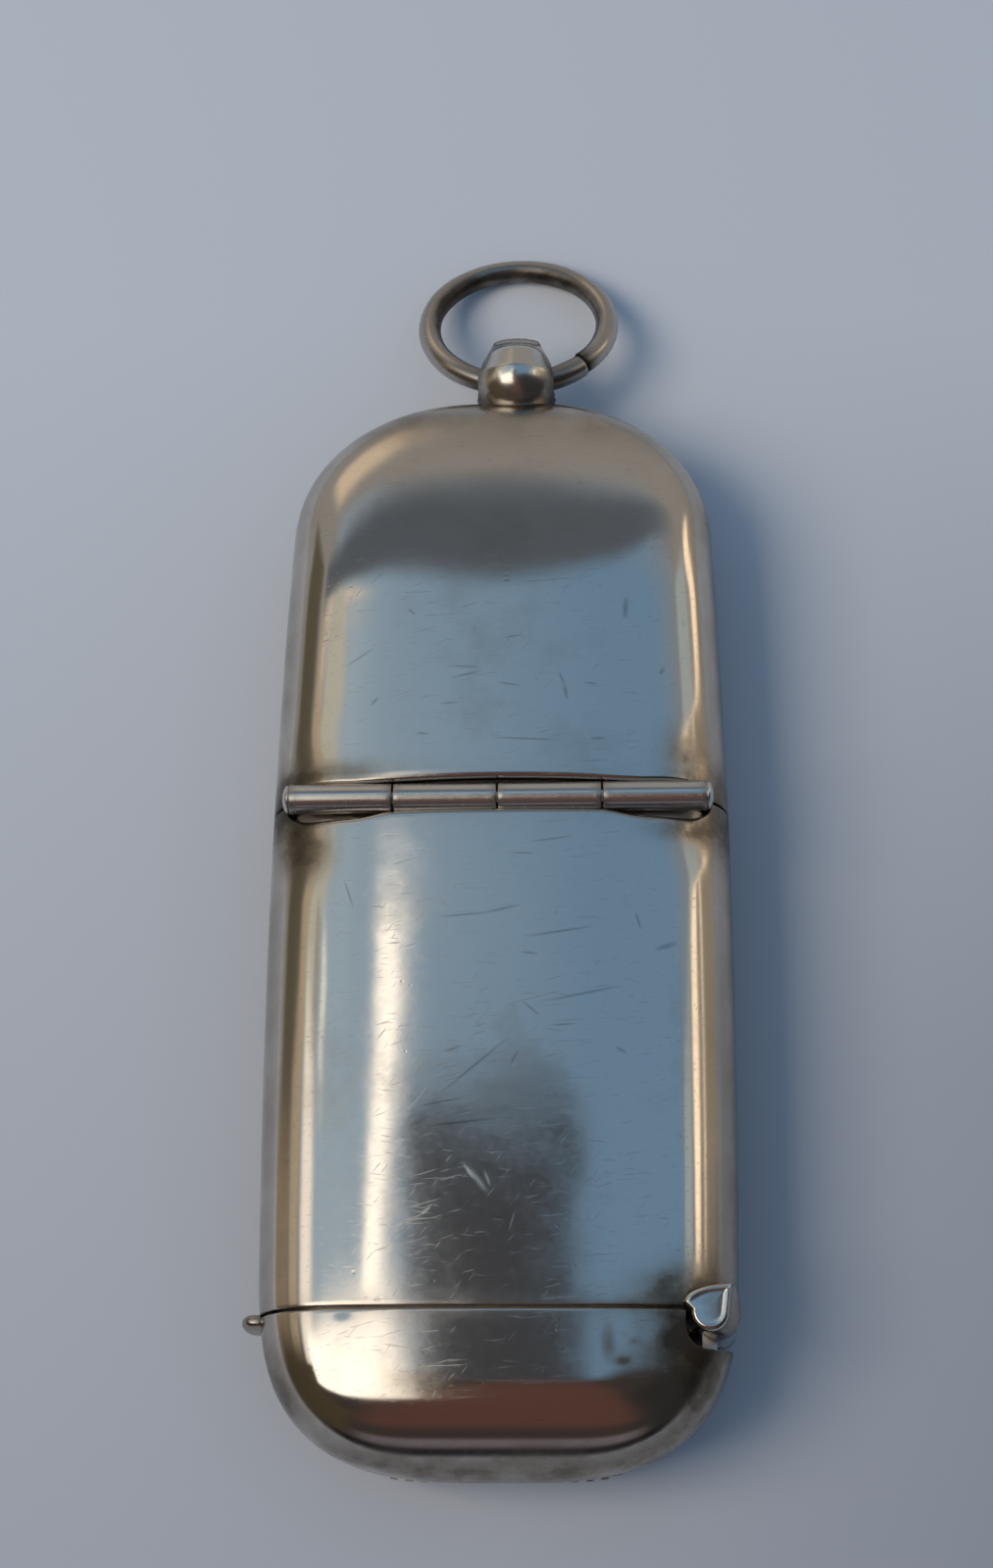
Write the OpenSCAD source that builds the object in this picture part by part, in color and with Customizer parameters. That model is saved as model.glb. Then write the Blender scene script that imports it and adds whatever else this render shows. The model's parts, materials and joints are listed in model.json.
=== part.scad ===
// Two-compartment vesta case in sheet silver: an upper case with a ball pendant and a bow ring,
// a lower match case, and an end lid. It lies on its flat back with the front up (+Z), the ring
// towards +Y and the lid hinge at +X. The origin is the centre of the back face. Millimetres.

/* [Case] */
// Length of the closed shells, without pendant and ring
case_len = 63; // [56:0.5:72]
// Width at the widest place
case_w = 26; // [23:0.5:30]
// Thickness from the flat back to the crown of the front
case_t = 9.5; // [8.5:0.25:12]
// Thickness of the sheet silver
wall = 0.5; // [0.4:0.05:0.7]
// How far each side draws in, half the case length away from the widest place
side_bow = 0.85; // [0:0.05:1.5]
// Place of the widest section, along the length from the middle
widest_y = -7; // [-12:0.5:4]
// Width of the fine gap at both seams
seam_gap = 0.14; // [0.08:0.02:0.3]

/* [Ends] */
// Length of the upper case, from the cross hinge to its domed end
upper_len = 26.5; // [22:0.5:32]
// Length of the end lid
lid_len = 8.4; // [7:0.2:11]
// Length over which the sides round in to the upper end
top_cap = 9.2; // [7:0.2:12]
// Length over which front and back roll down to the upper end
top_roll = 14.4; // [8:0.2:18]
// Length over which the sides round in to the lid end
lid_cap = 11.3; // [9:0.1:14]
// Length over which front and back roll down to the lid end
lid_roll = 5.6; // [4:0.2:7]

/* [Cross hinge] */
// Outer diameter of the hinge tube
tube_d = 1.65; // [1.4:0.05:2]
// Length of the hinge tube over all its knuckles
tube_len = 23.2; // [18:0.2:24]
// How far the tube's axis lies below the crown of the front
tube_sink = 0.5; // [0.3:0.05:0.7]
// Diameter of the hinge pin
tube_pin_d = 0.8; // [0.6:0.05:1]
// Thickness of each riveted pin head
pin_head_t = 0.35; // [0.2:0.05:0.5]

/* [Lid hinge] */
// Outer diameter of the barrel
barrel_d = 2.2; // [1.9:0.05:2.4]
// Distance of the barrel's axis from the side of the case
barrel_inset = 1.1; // [0.9:0.05:1.4]
// Diameter of the barrel's pin
barrel_pin_d = 0.8; // [0.6:0.05:1]
// Length of the lid's own knuckle
mid_knuckle_len = 2.8; // [2:0.1:3.4]
// Depth of the flat barrel ends below the front crown and above the back
barrel_end = 0.3; // [0.2:0.05:0.6]

/* [Collars] */
// Thickness of the inner collars that the cases close over
collar_wall = 0.35; // [0.25:0.05:0.5]
// How far a collar stands out of the lower case
collar_out = 1.5; // [1:0.1:1.8]
// How deep a collar sits inside the lower case
collar_in = 3; // [2.4:0.1:4]
// Thickness of the partition between the two compartments
partition_t = 0.5; // [0.4:0.05:0.8]

/* [Pendant and ring] */
// Diameter of the pierced ball
ball_d = 5.2; // [4:0.1:5.6]
// Height of the ball's middle above the end of the case
ball_rise = 1.5; // [1.2:0.05:2]
// Height of the ball's shouldered top above its middle
ball_top = 2.75; // [2.2:0.05:3.2]
// Diameter of the ball's flat top
ball_top_d = 2.6; // [2:0.1:3]
// How far the pendant sits off the middle, towards the lid hinge
pendant_x = 0.8; // [-1:0.1:1]
// Diameter of the peg that holds the ball in the upper case
peg_d = 1.6; // [1.2:0.1:2]
// Diameter of the ring at the middle of its wire
ring_d = 10.9; // [9.5:0.1:12]
// Diameter of the ring's wire
wire_d = 1.4; // [1.2:0.05:1.6]

/* [Small pieces] */
// Width of the thumb tab, through the thickness of the case
tab_w = 3; // [2:0.2:4]
// How far the thumb tab stands out
tab_out = 0.95; // [0.6:0.05:1.2]
// Thickness of the thumb tab along the case
tab_t = 0.8; // [0.6:0.05:1]
// Length of the striker across the lid end
striker_w = 13; // [9:0.5:16]
// Height of the striker
striker_h = 2.2; // [2:0.1:3]
// Spacing of the striker's ribs
rib_pitch = 0.8; // [0.6:0.1:1.2]
// Thickness of the lid spring
spring_t = 0.3; // [0.2:0.05:0.4]
// Length of the lid spring
spring_len = 14; // [11:0.5:16]

/* [Hidden] */

// Clearances: soldered fit, running fit of pins, run of one piece past another, collar in its cap
solder = 0.03;
pin_fit = 0.03;
run_gap = 0.18;
collar_gap = 0.22;

// Places along the case
top_y = case_len / 2;
end_y = -case_len / 2;
mid_y = top_y - upper_len;
lid_y = end_y + lid_len;
mid_z = case_t / 2;

// Section: exponents of the cushion shape, crown of the front and flattening of the back
side_n = 7.5;
edge_n = 2.2;
front_crown = 0.08;
back_flat = 0.12;
section_points = 36;

// Ends: exponents of the plan outlines and of the rolled profiles, stations along a dome
top_n = 2.2;
lid_n = 3.1;
top_roll_n = 2;
lid_roll_n = 2.2;
dome_steps = 11;
body_steps = 7;
tip = 0.03;

// Cross hinge
tube_r = tube_d / 2;
tube_z = case_t - tube_sink;
knuckle_count = 4;
knuckle_gap = 0.1;
knuckle_pitch = tube_len / knuckle_count;

// Lid hinge
barrel_r = barrel_d / 2;
barrel_x = half_width(lid_y) - barrel_inset;
barrel_y = lid_y - 0.15;
barrel_top = case_t - barrel_end;
mid_low = mid_z - mid_knuckle_len / 2;
mid_high = mid_z + mid_knuckle_len / 2;
barrel_cap = 0.5;
notch_r = barrel_r + 0.4;
notch_shift = [0.25, -0.35];
collar_stop = barrel_x - notch_r;

// Pendant and ring: the ring droops until it almost meets the table
wire_r = wire_d / 2;
ball_r = ball_d / 2;
ball_y = top_y + ball_rise;
peg_len = wall + 1;
ring_r = ring_d / 2;
ring_fit = 0.08;
droop = asin((mid_z - wire_r - solder) / ring_d);

// Striker: thickness of its base, which the ribs double, and its lower edge above the back
striker_t = 0.1;
striker_low = 0.5;

// Whether a knuckle is one of the two at the ends of the hinge tube
function is_outer(k) = k == 0 || k == knuckle_count - 1;

// Half width of the bowed sides, before the ends round in
function half_width(y) = case_w / 2 - side_bow * pow((y - widest_y) / (case_len / 2), 2);

// Superellipse fall from 1 to 0 over the last stretch before an end
function fall(s, n) = pow(1 - pow(min(max(s, 0), 1), n), 1 / n);

// Half width and roll of the surface that lies inset below the outer skin, at station y
function side_at(y, inset) = (half_width(y) - inset)
    * fall((y - top_y + top_cap) / (top_cap - inset), top_n)
    * fall((end_y + lid_cap - y) / (lid_cap - inset), lid_n);
function roll_at(y, inset) = fall((y - top_y + top_roll) / (top_roll - inset), top_roll_n)
    * fall((end_y + lid_roll - y) / (lid_roll - inset), lid_roll_n);

// One section of that surface: a cushion with a crowned front and a flat back
function section(y, inset) = let (a = side_at(y, inset), f = roll_at(y, inset), c = mid_z - inset)
    [for (k = [0 : section_points - 1])
        let (p = 360 * k / section_points,
             u = sign(cos(p)) * pow(abs(cos(p)), 2 / side_n),
             v = sign(sin(p)) * pow(abs(sin(p)), 2 / edge_n))
        [a * u, y, mid_z + (v >= 0 ? c * f * v * (1 - front_crown * u * u)
                                   : max((c + back_flat) * f * v, -c))]];

// Stations from a seam to the tip of a dome, closer together towards the tip
function dome_stations(seam, last) =
    [for (k = [0 : dome_steps]) last + (seam - last) * (1 - sin(90 * k / dome_steps))];
function reversed(list) = [for (k = [len(list) - 1 : -1 : 0]) list[k]];

// Solid through a row of sections: closed on itself, or with both ends capped
module loft(rows, loop = false) {
    n = len(rows[0]);
    m = len(rows);
    points = [for (row = rows) each row];
    skin = [for (j = [0 : loop ? m - 1 : m - 2], k = [0 : n - 1])
        let (here = j * n, next = ((j + 1) % m) * n, turn = (k + 1) % n)
        each [[here + k, here + turn, next + k], [here + turn, next + turn, next + k]]];
    ends = [[for (k = [n - 1 : -1 : 0]) k], [for (k = [0 : n - 1]) (m - 1) * n + k]];
    polyhedron(points, loop ? skin : concat(skin, ends));
}

// Hinge tube's own space: either the outer or the inner knuckles fit tight, the others run free
module tube_space(outer_tight) {
    for (k = [0 : knuckle_count - 1])
        translate([k * knuckle_pitch - tube_len / 2, mid_y, tube_z])
            rotate([0, 90, 0])
                cylinder(r = is_outer(k) == outer_tight ? tube_r : tube_r + run_gap,
                         h = knuckle_pitch, $fn = 64);
    for (side = [-1, 1])
        translate([side * (tube_len / 2 + pin_head_t) - pin_head_t, mid_y, tube_z])
            rotate([0, 90, 0])
                cylinder(r = tube_r + run_gap, h = 2 * pin_head_t, $fn = 64);
}

// Fixed lid knuckle: a barrel with a leaf let into the corner of the case, from its axis upwards
module leafed_barrel(height) {
    leaf = [[0, 0], [-1.18, 0.52], [-0.9, 0.86], [-0.48, 1.18], [0.18, 1.36], [0.94, 1.41], [0.9, 0]];
    union() {
        cylinder(r = barrel_r, h = height, $fn = 64);
        linear_extrude(height)
            polygon(leaf * barrel_r);
    }
}

module at_lid_hinge(z) {
    translate([barrel_x, barrel_y, z])
        children();
}

module upper_shell() {
    rim = mid_y + seam_gap / 2;
    color("silver")
        difference() {
            loft(concat(
                [for (y = reversed(dome_stations(rim, top_y - wall - tip))) section(y, wall)],
                [for (y = dome_stations(rim, top_y - tip)) section(y, 0)]));
            tube_space(true);
            translate([pendant_x, top_y - peg_len, mid_z])
                rotate([-90, 0, 0])
                    cylinder(d = peg_d + 2 * solder, h = 2 * peg_len, $fn = 48);
        }
}

module lower_shell() {
    low = lid_y + seam_gap / 2;
    high = mid_y - seam_gap / 2;
    stations = [for (k = [0 : body_steps]) low + (high - low) * k / body_steps];
    color("silver")
        difference() {
            loft(concat(
                [for (y = stations) section(y, 0)],
                [for (y = reversed(stations)) section(y, wall)]), true);
            tube_space(false);
            at_lid_hinge(-1)
                leafed_barrel(mid_low + 1);
            at_lid_hinge(mid_high)
                leafed_barrel(case_t);
            at_lid_hinge(mid_low)
                cylinder(r = barrel_r + run_gap, h = mid_knuckle_len, $fn = 64);
        }
}

module lid_shell() {
    rim = lid_y - seam_gap / 2;
    color("silver")
        difference() {
            loft(concat(
                [for (y = reversed(dome_stations(rim, end_y + tip))) section(y, 0)],
                [for (y = dome_stations(rim, end_y + wall + tip)) section(y, wall)]));
            at_lid_hinge(-1)
                translate(notch_shift)
                    cylinder(r = notch_r, h = case_t + 2, $fn = 64);
        }
}

// Collar soldered into the lower case at a seam, with its free lip on the side that way points to
module collar(seam, way) {
    step = seam_gap + 0.3;
    skin = wall + solder;
    lip = wall + collar_gap;
    bore = lip + collar_wall;
    rows = [[seam - way * collar_in, skin], [seam - way * (step + 0.1), skin], [seam - way * step, lip],
            [seam + way * collar_out, lip], [seam + way * collar_out, bore], [seam - way * collar_in, bore]];
    loft([for (r = way > 0 ? rows : reversed(rows)) section(r[0], r[1])], true);
}

module mid_collar() {
    color("gainsboro")
        difference() {
            collar(mid_y, 1);
            translate([-case_w / 2, mid_y, tube_z])
                rotate([0, 90, 0])
                    cylinder(r = tube_r + run_gap, h = case_w, $fn = 64);
        }
}

module lid_collar() {
    color("gainsboro")
        difference() {
            collar(lid_y, -1);
            translate([collar_stop, lid_y - case_len / 2, -1])
                cube([case_w, case_len, case_t + 2]);
        }
}

module partition_plate() {
    inset = wall + collar_gap + collar_wall + solder;
    back = mid_y - collar_in + partition_t;
    color("gainsboro")
        loft([section(back, inset), section(back + partition_t, inset)]);
}

// Pierced ball on a peg, round below and with straight shoulders above its middle; the hole widens to
// both sides so that the curved wire can swing in it
module pendant_ball() {
    reach = ball_r + 0.2;
    foot = solder - ball_rise;
    steps = 8;
    round = [for (k = [0 : steps])
        let (a = asin(foot / ball_r) * (1 - k / steps))
        ball_r * [cos(a), sin(a)]];
    hole = [for (k = [-6 : 6])
        let (x = reach * k / 6)
        [wire_r + ring_fit + ring_r - sqrt(ring_r * ring_r - x * x), x]];
    color("silver")
        translate([pendant_x, ball_y, mid_z])
            difference() {
                union() {
                    rotate([-90, 0, 0])
                        rotate_extrude($fn = 64)
                            polygon(concat([[0, foot]], round, [[ball_top_d / 2, ball_top], [0, ball_top]]));
                    translate([0, -ball_rise - peg_len, 0])
                        rotate([-90, 0, 0])
                            cylinder(d = peg_d, h = peg_len + ball_rise / 2, $fn = 48);
                }
                rotate([0, 90, 0])
                    rotate_extrude($fn = 48)
                        polygon(concat([[0, -reach]], hole, [[0, reach]]));
            }
}

module bow_ring() {
    color("silver")
        translate([pendant_x, ball_y, mid_z])
            rotate([-droop, 0, 0])
                translate([0, ring_r, 0])
                    rotate_extrude($fn = 96)
                        translate([ring_r, 0])
                            circle(r = wire_r, $fn = 32);
}

// Knuckles of the cross hinge, counted from the left; the outer two belong to the upper case
module front_knuckle(k) {
    color("silver")
        translate([k * knuckle_pitch - tube_len / 2 + knuckle_gap / 2, mid_y, tube_z])
            rotate([0, 90, 0])
                difference() {
                    cylinder(r = tube_r, h = knuckle_pitch - knuckle_gap, $fn = 64);
                    translate([0, 0, -1])
                        cylinder(d = tube_pin_d + 2 * pin_fit, h = knuckle_pitch + 2, $fn = 48);
                }
}

module front_hinge_pin() {
    reach = tube_len / 2 + pin_head_t;
    color("gray")
        translate([-reach, mid_y, tube_z])
            rotate([0, 90, 0]) {
                cylinder(d = tube_pin_d, h = 2 * reach, $fn = 48);
                cylinder(r = tube_r - solder, h = pin_head_t, $fn = 48);
                translate([0, 0, 2 * reach - pin_head_t])
                    cylinder(r = tube_r - solder, h = pin_head_t, $fn = 48);
            }
}

// Fixed knuckle of the lid hinge between two heights; the pin hole stops short of its outer end
module fixed_knuckle(low, high, hole_low, hole_high) {
    color("silver")
        difference() {
            at_lid_hinge(low)
                leafed_barrel(high - low);
            at_lid_hinge(hole_low)
                cylinder(d = barrel_pin_d + 2 * pin_fit, h = hole_high - hole_low, $fn = 48);
        }
}

module lid_knuckle_front() {
    low = mid_high + knuckle_gap / 2;
    fixed_knuckle(low, barrel_top, low - 1, barrel_top - barrel_cap);
}

module lid_knuckle_back() {
    high = mid_low - knuckle_gap / 2;
    fixed_knuckle(barrel_end, high, barrel_end + barrel_cap, high + 1);
}

// The lid's own knuckle, with a lug that is soldered along the inside of the lid's wall
module lid_knuckle_mid() {
    near = 2 * barrel_r;
    far = 3.3 * barrel_r;
    height = mid_knuckle_len - knuckle_gap;
    fit = solder + 0.17;
    wall_near = side_at(barrel_y - near, wall) - barrel_x - fit;
    wall_far = side_at(barrel_y - far, wall) - barrel_x - fit;
    color("silver")
        at_lid_hinge(mid_low + knuckle_gap / 2)
            difference() {
                union() {
                    cylinder(r = barrel_r, h = height, $fn = 64);
                    linear_extrude(height)
                        polygon([[-0.8 * barrel_r, 0], [-0.1 * barrel_r, 0], [-0.1 * barrel_r, -0.85 * near],
                                 [wall_near, -near], [wall_far, -far],
                                 [wall_far - 0.6, -far], [-0.8 * barrel_r, -near]]);
                }
                translate([0, 0, -1])
                    cylinder(d = barrel_pin_d + 2 * pin_fit, h = height + 2, $fn = 48);
            }
}

module lid_hinge_pin() {
    low = barrel_end + barrel_cap + solder;
    high = barrel_top - barrel_cap - solder;
    color("gray")
        at_lid_hinge(low)
            cylinder(d = barrel_pin_d, h = high - low, $fn = 48);
}

// Leaf spring on the inside of the lower case, bearing on the lid's knuckle
module lid_spring() {
    fit = solder + 0.15;
    width = mid_knuckle_len - 0.4;
    nose = barrel_r + run_gap;
    bend = 3 * barrel_r;
    line = concat([[-0.5 * nose, nose], [0, 2 * nose]],
                  [for (d = [bend, (bend + spring_len) / 2, spring_len])
                      [side_at(barrel_y + d, wall) - barrel_x - fit, d]]);
    color("lightgray")
        at_lid_hinge(mid_z - width / 2)
            linear_extrude(width)
                polygon(concat(line, reversed([for (p = line) p - [spring_t, 0]])));
}

// Half-round nail tab on the free side of the lid
module thumb_tab() {
    y = lid_y - seam_gap - tab_t / 2;
    root = side_at(y, 0) + 2 * solder;
    color("silver")
        translate([0, y, mid_z - tab_w / 2]) {
            translate([-root - tab_out + tab_t / 2, 0, 0])
                cylinder(d = tab_t, h = tab_w, $fn = 32);
            translate([-root - tab_out + tab_t / 2, -tab_t / 2, 0])
                cube([tab_out - tab_t / 2, tab_t, tab_w]);
        }
}

// Skin of the lid end between two depths, cut to the windows given as children
module lid_end_skin(outside, inside) {
    stations = reversed(dome_stations(lid_y - 1, end_y + tip));
    intersection() {
        difference() {
            loft([for (y = stations) section(y - outside, -outside)]);
            loft([for (y = stations) section(y - inside, -inside)]);
        }
        children();
    }
}

module striker_window(width) {
    translate([-width / 2, end_y - 1, striker_low])
        cube([width, lid_roll, striker_h]);
}

// Ribbed strip on the lower half of the lid end
module striker_plate() {
    ribs = floor((striker_w / 2 - rib_pitch / 4) / rib_pitch);
    color("dimgray") {
        lid_end_skin(striker_t, solder)
            striker_window(striker_w);
        lid_end_skin(2 * striker_t, striker_t / 2)
            for (k = [-ribs : ribs])
                translate([k * rib_pitch, 0, 0])
                    striker_window(rib_pitch / 2);
    }
}

upper_shell();
lower_shell();
lid_shell();
partition_plate();
mid_collar();
lid_collar();
pendant_ball();
bow_ring();
front_knuckle(0);  // front_knuckle_1
front_knuckle(1);  // front_knuckle_2
front_knuckle(2);  // front_knuckle_3
front_knuckle(3);  // front_knuckle_4
front_hinge_pin();
lid_knuckle_front();
lid_knuckle_mid();
lid_knuckle_back();
lid_hinge_pin();
lid_spring();
thumb_tab();
striker_plate();
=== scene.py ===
import json
import math

import bpy
import numpy as np
from mathutils import Matrix, Vector

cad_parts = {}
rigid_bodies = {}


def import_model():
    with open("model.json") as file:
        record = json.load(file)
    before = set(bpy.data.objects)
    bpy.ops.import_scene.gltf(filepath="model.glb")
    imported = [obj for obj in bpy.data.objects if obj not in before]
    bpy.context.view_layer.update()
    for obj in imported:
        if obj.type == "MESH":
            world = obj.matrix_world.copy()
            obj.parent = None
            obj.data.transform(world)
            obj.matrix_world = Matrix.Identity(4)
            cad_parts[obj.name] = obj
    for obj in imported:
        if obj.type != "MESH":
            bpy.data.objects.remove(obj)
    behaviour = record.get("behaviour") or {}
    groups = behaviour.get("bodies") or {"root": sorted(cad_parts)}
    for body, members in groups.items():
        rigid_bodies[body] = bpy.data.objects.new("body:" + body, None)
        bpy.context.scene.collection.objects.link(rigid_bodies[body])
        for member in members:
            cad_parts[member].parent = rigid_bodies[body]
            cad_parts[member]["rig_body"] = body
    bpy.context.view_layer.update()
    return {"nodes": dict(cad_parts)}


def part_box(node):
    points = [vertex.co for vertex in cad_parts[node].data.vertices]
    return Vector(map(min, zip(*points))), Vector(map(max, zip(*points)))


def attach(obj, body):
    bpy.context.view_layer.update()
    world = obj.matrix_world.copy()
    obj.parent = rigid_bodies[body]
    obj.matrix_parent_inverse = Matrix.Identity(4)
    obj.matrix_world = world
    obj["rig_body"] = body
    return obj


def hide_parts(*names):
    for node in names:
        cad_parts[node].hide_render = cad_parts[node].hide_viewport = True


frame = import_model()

# Looks of a silver vesta case with two compartments, made round its construction frame.
# Lengths of the case are millimetres, turned into metres where a mesh is made; the studio's are metres.
MM = 0.001


def span(node):
    """Lowest and highest corner of a construction node, in millimetres."""
    low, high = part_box(node)
    return np.array(low) / MM, np.array(high) / MM


# Places that come from the frame; the drawn ends stop TIP short of the true tips
TIP = 0.03
upper_low, upper_high = span("upper_shell")
lower_low, lower_high = span("lower_shell")
lid_low, lid_high = span("lid_shell")
TOP_Y = upper_high[1] + TIP
END_Y = lid_low[1] - TIP
MID_Y = (upper_low[1] + lower_high[1]) / 2
LID_Y = (lower_low[1] + lid_high[1]) / 2
SEAM_HALF = (upper_low[1] - lower_high[1]) / 2
CASE_LEN = TOP_Y - END_Y
CASE_T = lower_high[2]
MID_Z = CASE_T / 2

# Shape of the case: sheet, bow of the sides, rounding of the ends, cushion section
WALL = 0.5
CASE_W = 26.0
SIDE_BOW = 0.85
WIDEST_Y = -7.0
TOP_CAP = 9.2
TOP_ROLL = 14.4
LID_CAP = 11.3
LID_ROLL = 5.6
TOP_N = 2.2
LID_N = 3.1
TOP_ROLL_N = 2.0
LID_ROLL_N = 2.2
SIDE_N = 7.5
EDGE_N = 2.2
FRONT_CROWN = 0.08
BACK_FLAT = 0.12

# Height over the middle from which a skin belongs to the front
FRONT_RISE = 2.0

# Points along the front and down a side, and the share of the half width at which one turns into the other
FRONT_COUNT = 96
SIDE_COUNT = 72
SIDE_TURN = 0.82

# Cross hinge, from its first knuckle and its pin
knuckle_low, knuckle_high = span("front_knuckle_1")
pin_high = span("front_hinge_pin")[1]
TUBE_R = (knuckle_high[2] - knuckle_low[2]) / 2
TUBE_Z = (knuckle_high[2] + knuckle_low[2]) / 2
TUBE_HALF = -knuckle_low[0]
KNUCKLE_HALF = TUBE_HALF / 2

# Lid hinge, from its pin and its front knuckle
barrel_low, barrel_high = span("lid_hinge_pin")
leaf_low, leaf_high = span("lid_knuckle_front")
BARREL_X = (barrel_low[0] + barrel_high[0]) / 2
BARREL_Y = (barrel_low[1] + barrel_high[1]) / 2
BARREL_R = leaf_high[0] - BARREL_X
BARREL_TOP = leaf_high[2]
BARREL_JOIN = leaf_low[2]
LEAF_RIGHT = 0.6
LEAF_W = 2.5
LEAF_FOOT = 0.4
LEAF_H = 0.97
LEAF_N = 2.1
LEAF_GAP = 0.04
NOTCH_ROOM = 0.4
NOTCH_APART = 0.25
NOTCH_DROP = 0.35
NOTCH_R = BARREL_R + NOTCH_ROOM
NOTCHES = (BARREL_X + NOTCH_APART, BARREL_X - NOTCH_APART)
NOTCH_Y = BARREL_Y - NOTCH_DROP
MID_KNUCKLE_HALF = BARREL_JOIN - MID_Z
RUN_GAP = 0.18

# Pendant ball and ring
ring_low, ring_high = span("bow_ring")
ball_low, ball_high = span("pendant_ball")
WIRE_R = 0.7
RING_R = (ring_high[0] - ring_low[0]) / 2 - WIRE_R
PENDANT_X = (ring_low[0] + ring_high[0]) / 2
BALL_R = (ball_high[2] - ball_low[2]) / 2
BALL_TOP = 2.75
BALL_TOP_R = 1.4
BALL_Y = ball_high[1] - BALL_TOP
DROOP = math.asin((MID_Z - WIRE_R - TIP) / (2 * RING_R))


def smooth(value, start, end):
    """Smooth step: 0 before start, 1 after end, with level ends between."""
    t = np.clip((value - start) / (end - start), 0, 1)
    return t * t * (3 - 2 * t)


def fade_in(value, base, places):
    """Smooth step between two places that are counted from a base."""
    return smooth(value, base + places[0], base + places[1])


def bump_at(distance, width):
    """Bell: 1 at no distance, falling as the Gaussian of distance over width."""
    return np.exp(-(distance / width) ** 2)


def signed_power(value, n):
    """A value's size raised to the power n, with the value's sign."""
    return np.sign(value) * np.abs(value) ** n


# The case's own surface

def fall(s, n):
    """Superellipse fall from 1 to 0: the n-th root of one less s to the power n, s held to 0..1."""
    return (1 - np.clip(s, 0, 1) ** n) ** (1 / n)


def half_width(y):
    """Half width of the bowed sides: the full half width less a parabola about the widest station."""
    return CASE_W / 2 - SIDE_BOW * ((y - WIDEST_Y) / (CASE_LEN / 2)) ** 2


def side_at(y, inset):
    """Half width at station y of the surface that lies inset below the skin, rounded in at both ends."""
    top = fall((y - TOP_Y + TOP_CAP) / (TOP_CAP - inset), TOP_N)
    end = fall((END_Y + LID_CAP - y) / (LID_CAP - inset), LID_N)
    return (half_width(y) - inset) * top * end


def case_surface(p, y, inset):
    """Point at angle p round the section and station y: a cushion whose width and thickness follow
    superellipse powers of the cosine and sine of p, crowned in front and cut flat at the back."""
    p, y, inset = np.broadcast_arrays(p, y, inset)
    u = signed_power(np.cos(p), 2 / SIDE_N)
    v = signed_power(np.sin(p), 2 / EDGE_N)
    top = fall((y - TOP_Y + TOP_ROLL) / (TOP_ROLL - inset), TOP_ROLL_N)
    end = fall((END_Y + LID_ROLL - y) / (LID_ROLL - inset), LID_ROLL_N)
    c = MID_Z - inset
    front = c * top * end * v * (1 - FRONT_CROWN * u * u)
    back = np.maximum((c + BACK_FLAT) * top * end * v, -c)
    return np.stack([side_at(y, inset) * u, y, MID_Z + np.where(v >= 0, front, back)], -1)


def angle_of_x(x, y):
    """Angle round the section, on the front, at which the skin at station y has the given x."""
    u = x / side_at(np.float64(y), 0.0)
    return math.acos(math.copysign(abs(u) ** (SIDE_N / 2), u))


def angle_of_z(z):
    """Angle round the section, on the right side, at which the skin has the given height."""
    v = (z - MID_Z) / (MID_Z * (1 - FRONT_CROWN))
    return math.asin(math.copysign(abs(v) ** (EDGE_N / 2), v))


def section_angles(extra=()):
    """Angles round the section, even in width over front and back and even in height down the sides."""
    v_turn = (1 - SIDE_TURN ** SIDE_N) ** (1 / EDGE_N)
    u_front = np.linspace(SIDE_TURN, -SIDE_TURN, FRONT_COUNT)
    front = np.arccos(signed_power(u_front, SIDE_N / 2))
    v_side = np.linspace(v_turn, -v_turn, SIDE_COUNT)[1:-1]
    left = np.pi - np.arcsin(signed_power(v_side, EDGE_N / 2))
    angles = np.concatenate([front, left, front + np.pi, left + np.pi, np.array(extra, float)])
    return np.unique(np.round(angles % (2 * np.pi), 9))


# Meshes from grids

# Angles in degrees from which an edge is sharp: on most pieces, and on rounded ones
SHARP = 38
ROUNDED = 50


def grid_faces(rows, columns, loop):
    """Quads between neighbouring rows; columns close on themselves, rows too where loop is set."""
    r = np.arange(rows if loop else rows - 1)[:, None]
    c = np.arange(columns)[None, :]
    here = r * columns
    there = ((r + 1) % rows) * columns
    turn = (c + 1) % columns
    return np.stack([here + c, here + turn, there + turn, there + c], -1).reshape(-1, 4)


def signed_volume(points, quads):
    """Volume inside the quads: a sixth of the triple products of their two triangles, summed."""
    a, b, c, d = (points[quads[:, k]] for k in range(4))
    first = np.einsum("ij,ij->i", a, np.cross(b, c))
    second = np.einsum("ij,ij->i", a, np.cross(c, d))
    return (first + second).sum() / 6


def linked(name, data):
    """A new object of the scene, holding a mesh, a lamp or a camera."""
    obj = bpy.data.objects.new(name, data)
    bpy.context.scene.collection.objects.link(obj)
    return obj


def point_value(mesh, name, values):
    """Gives each point of a mesh its value, as an attribute that materials read."""
    attribute = mesh.attributes.new(name, "FLOAT", "POINT")
    attribute.data.foreach_set("value", values.reshape(-1).astype(np.float32))


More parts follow.
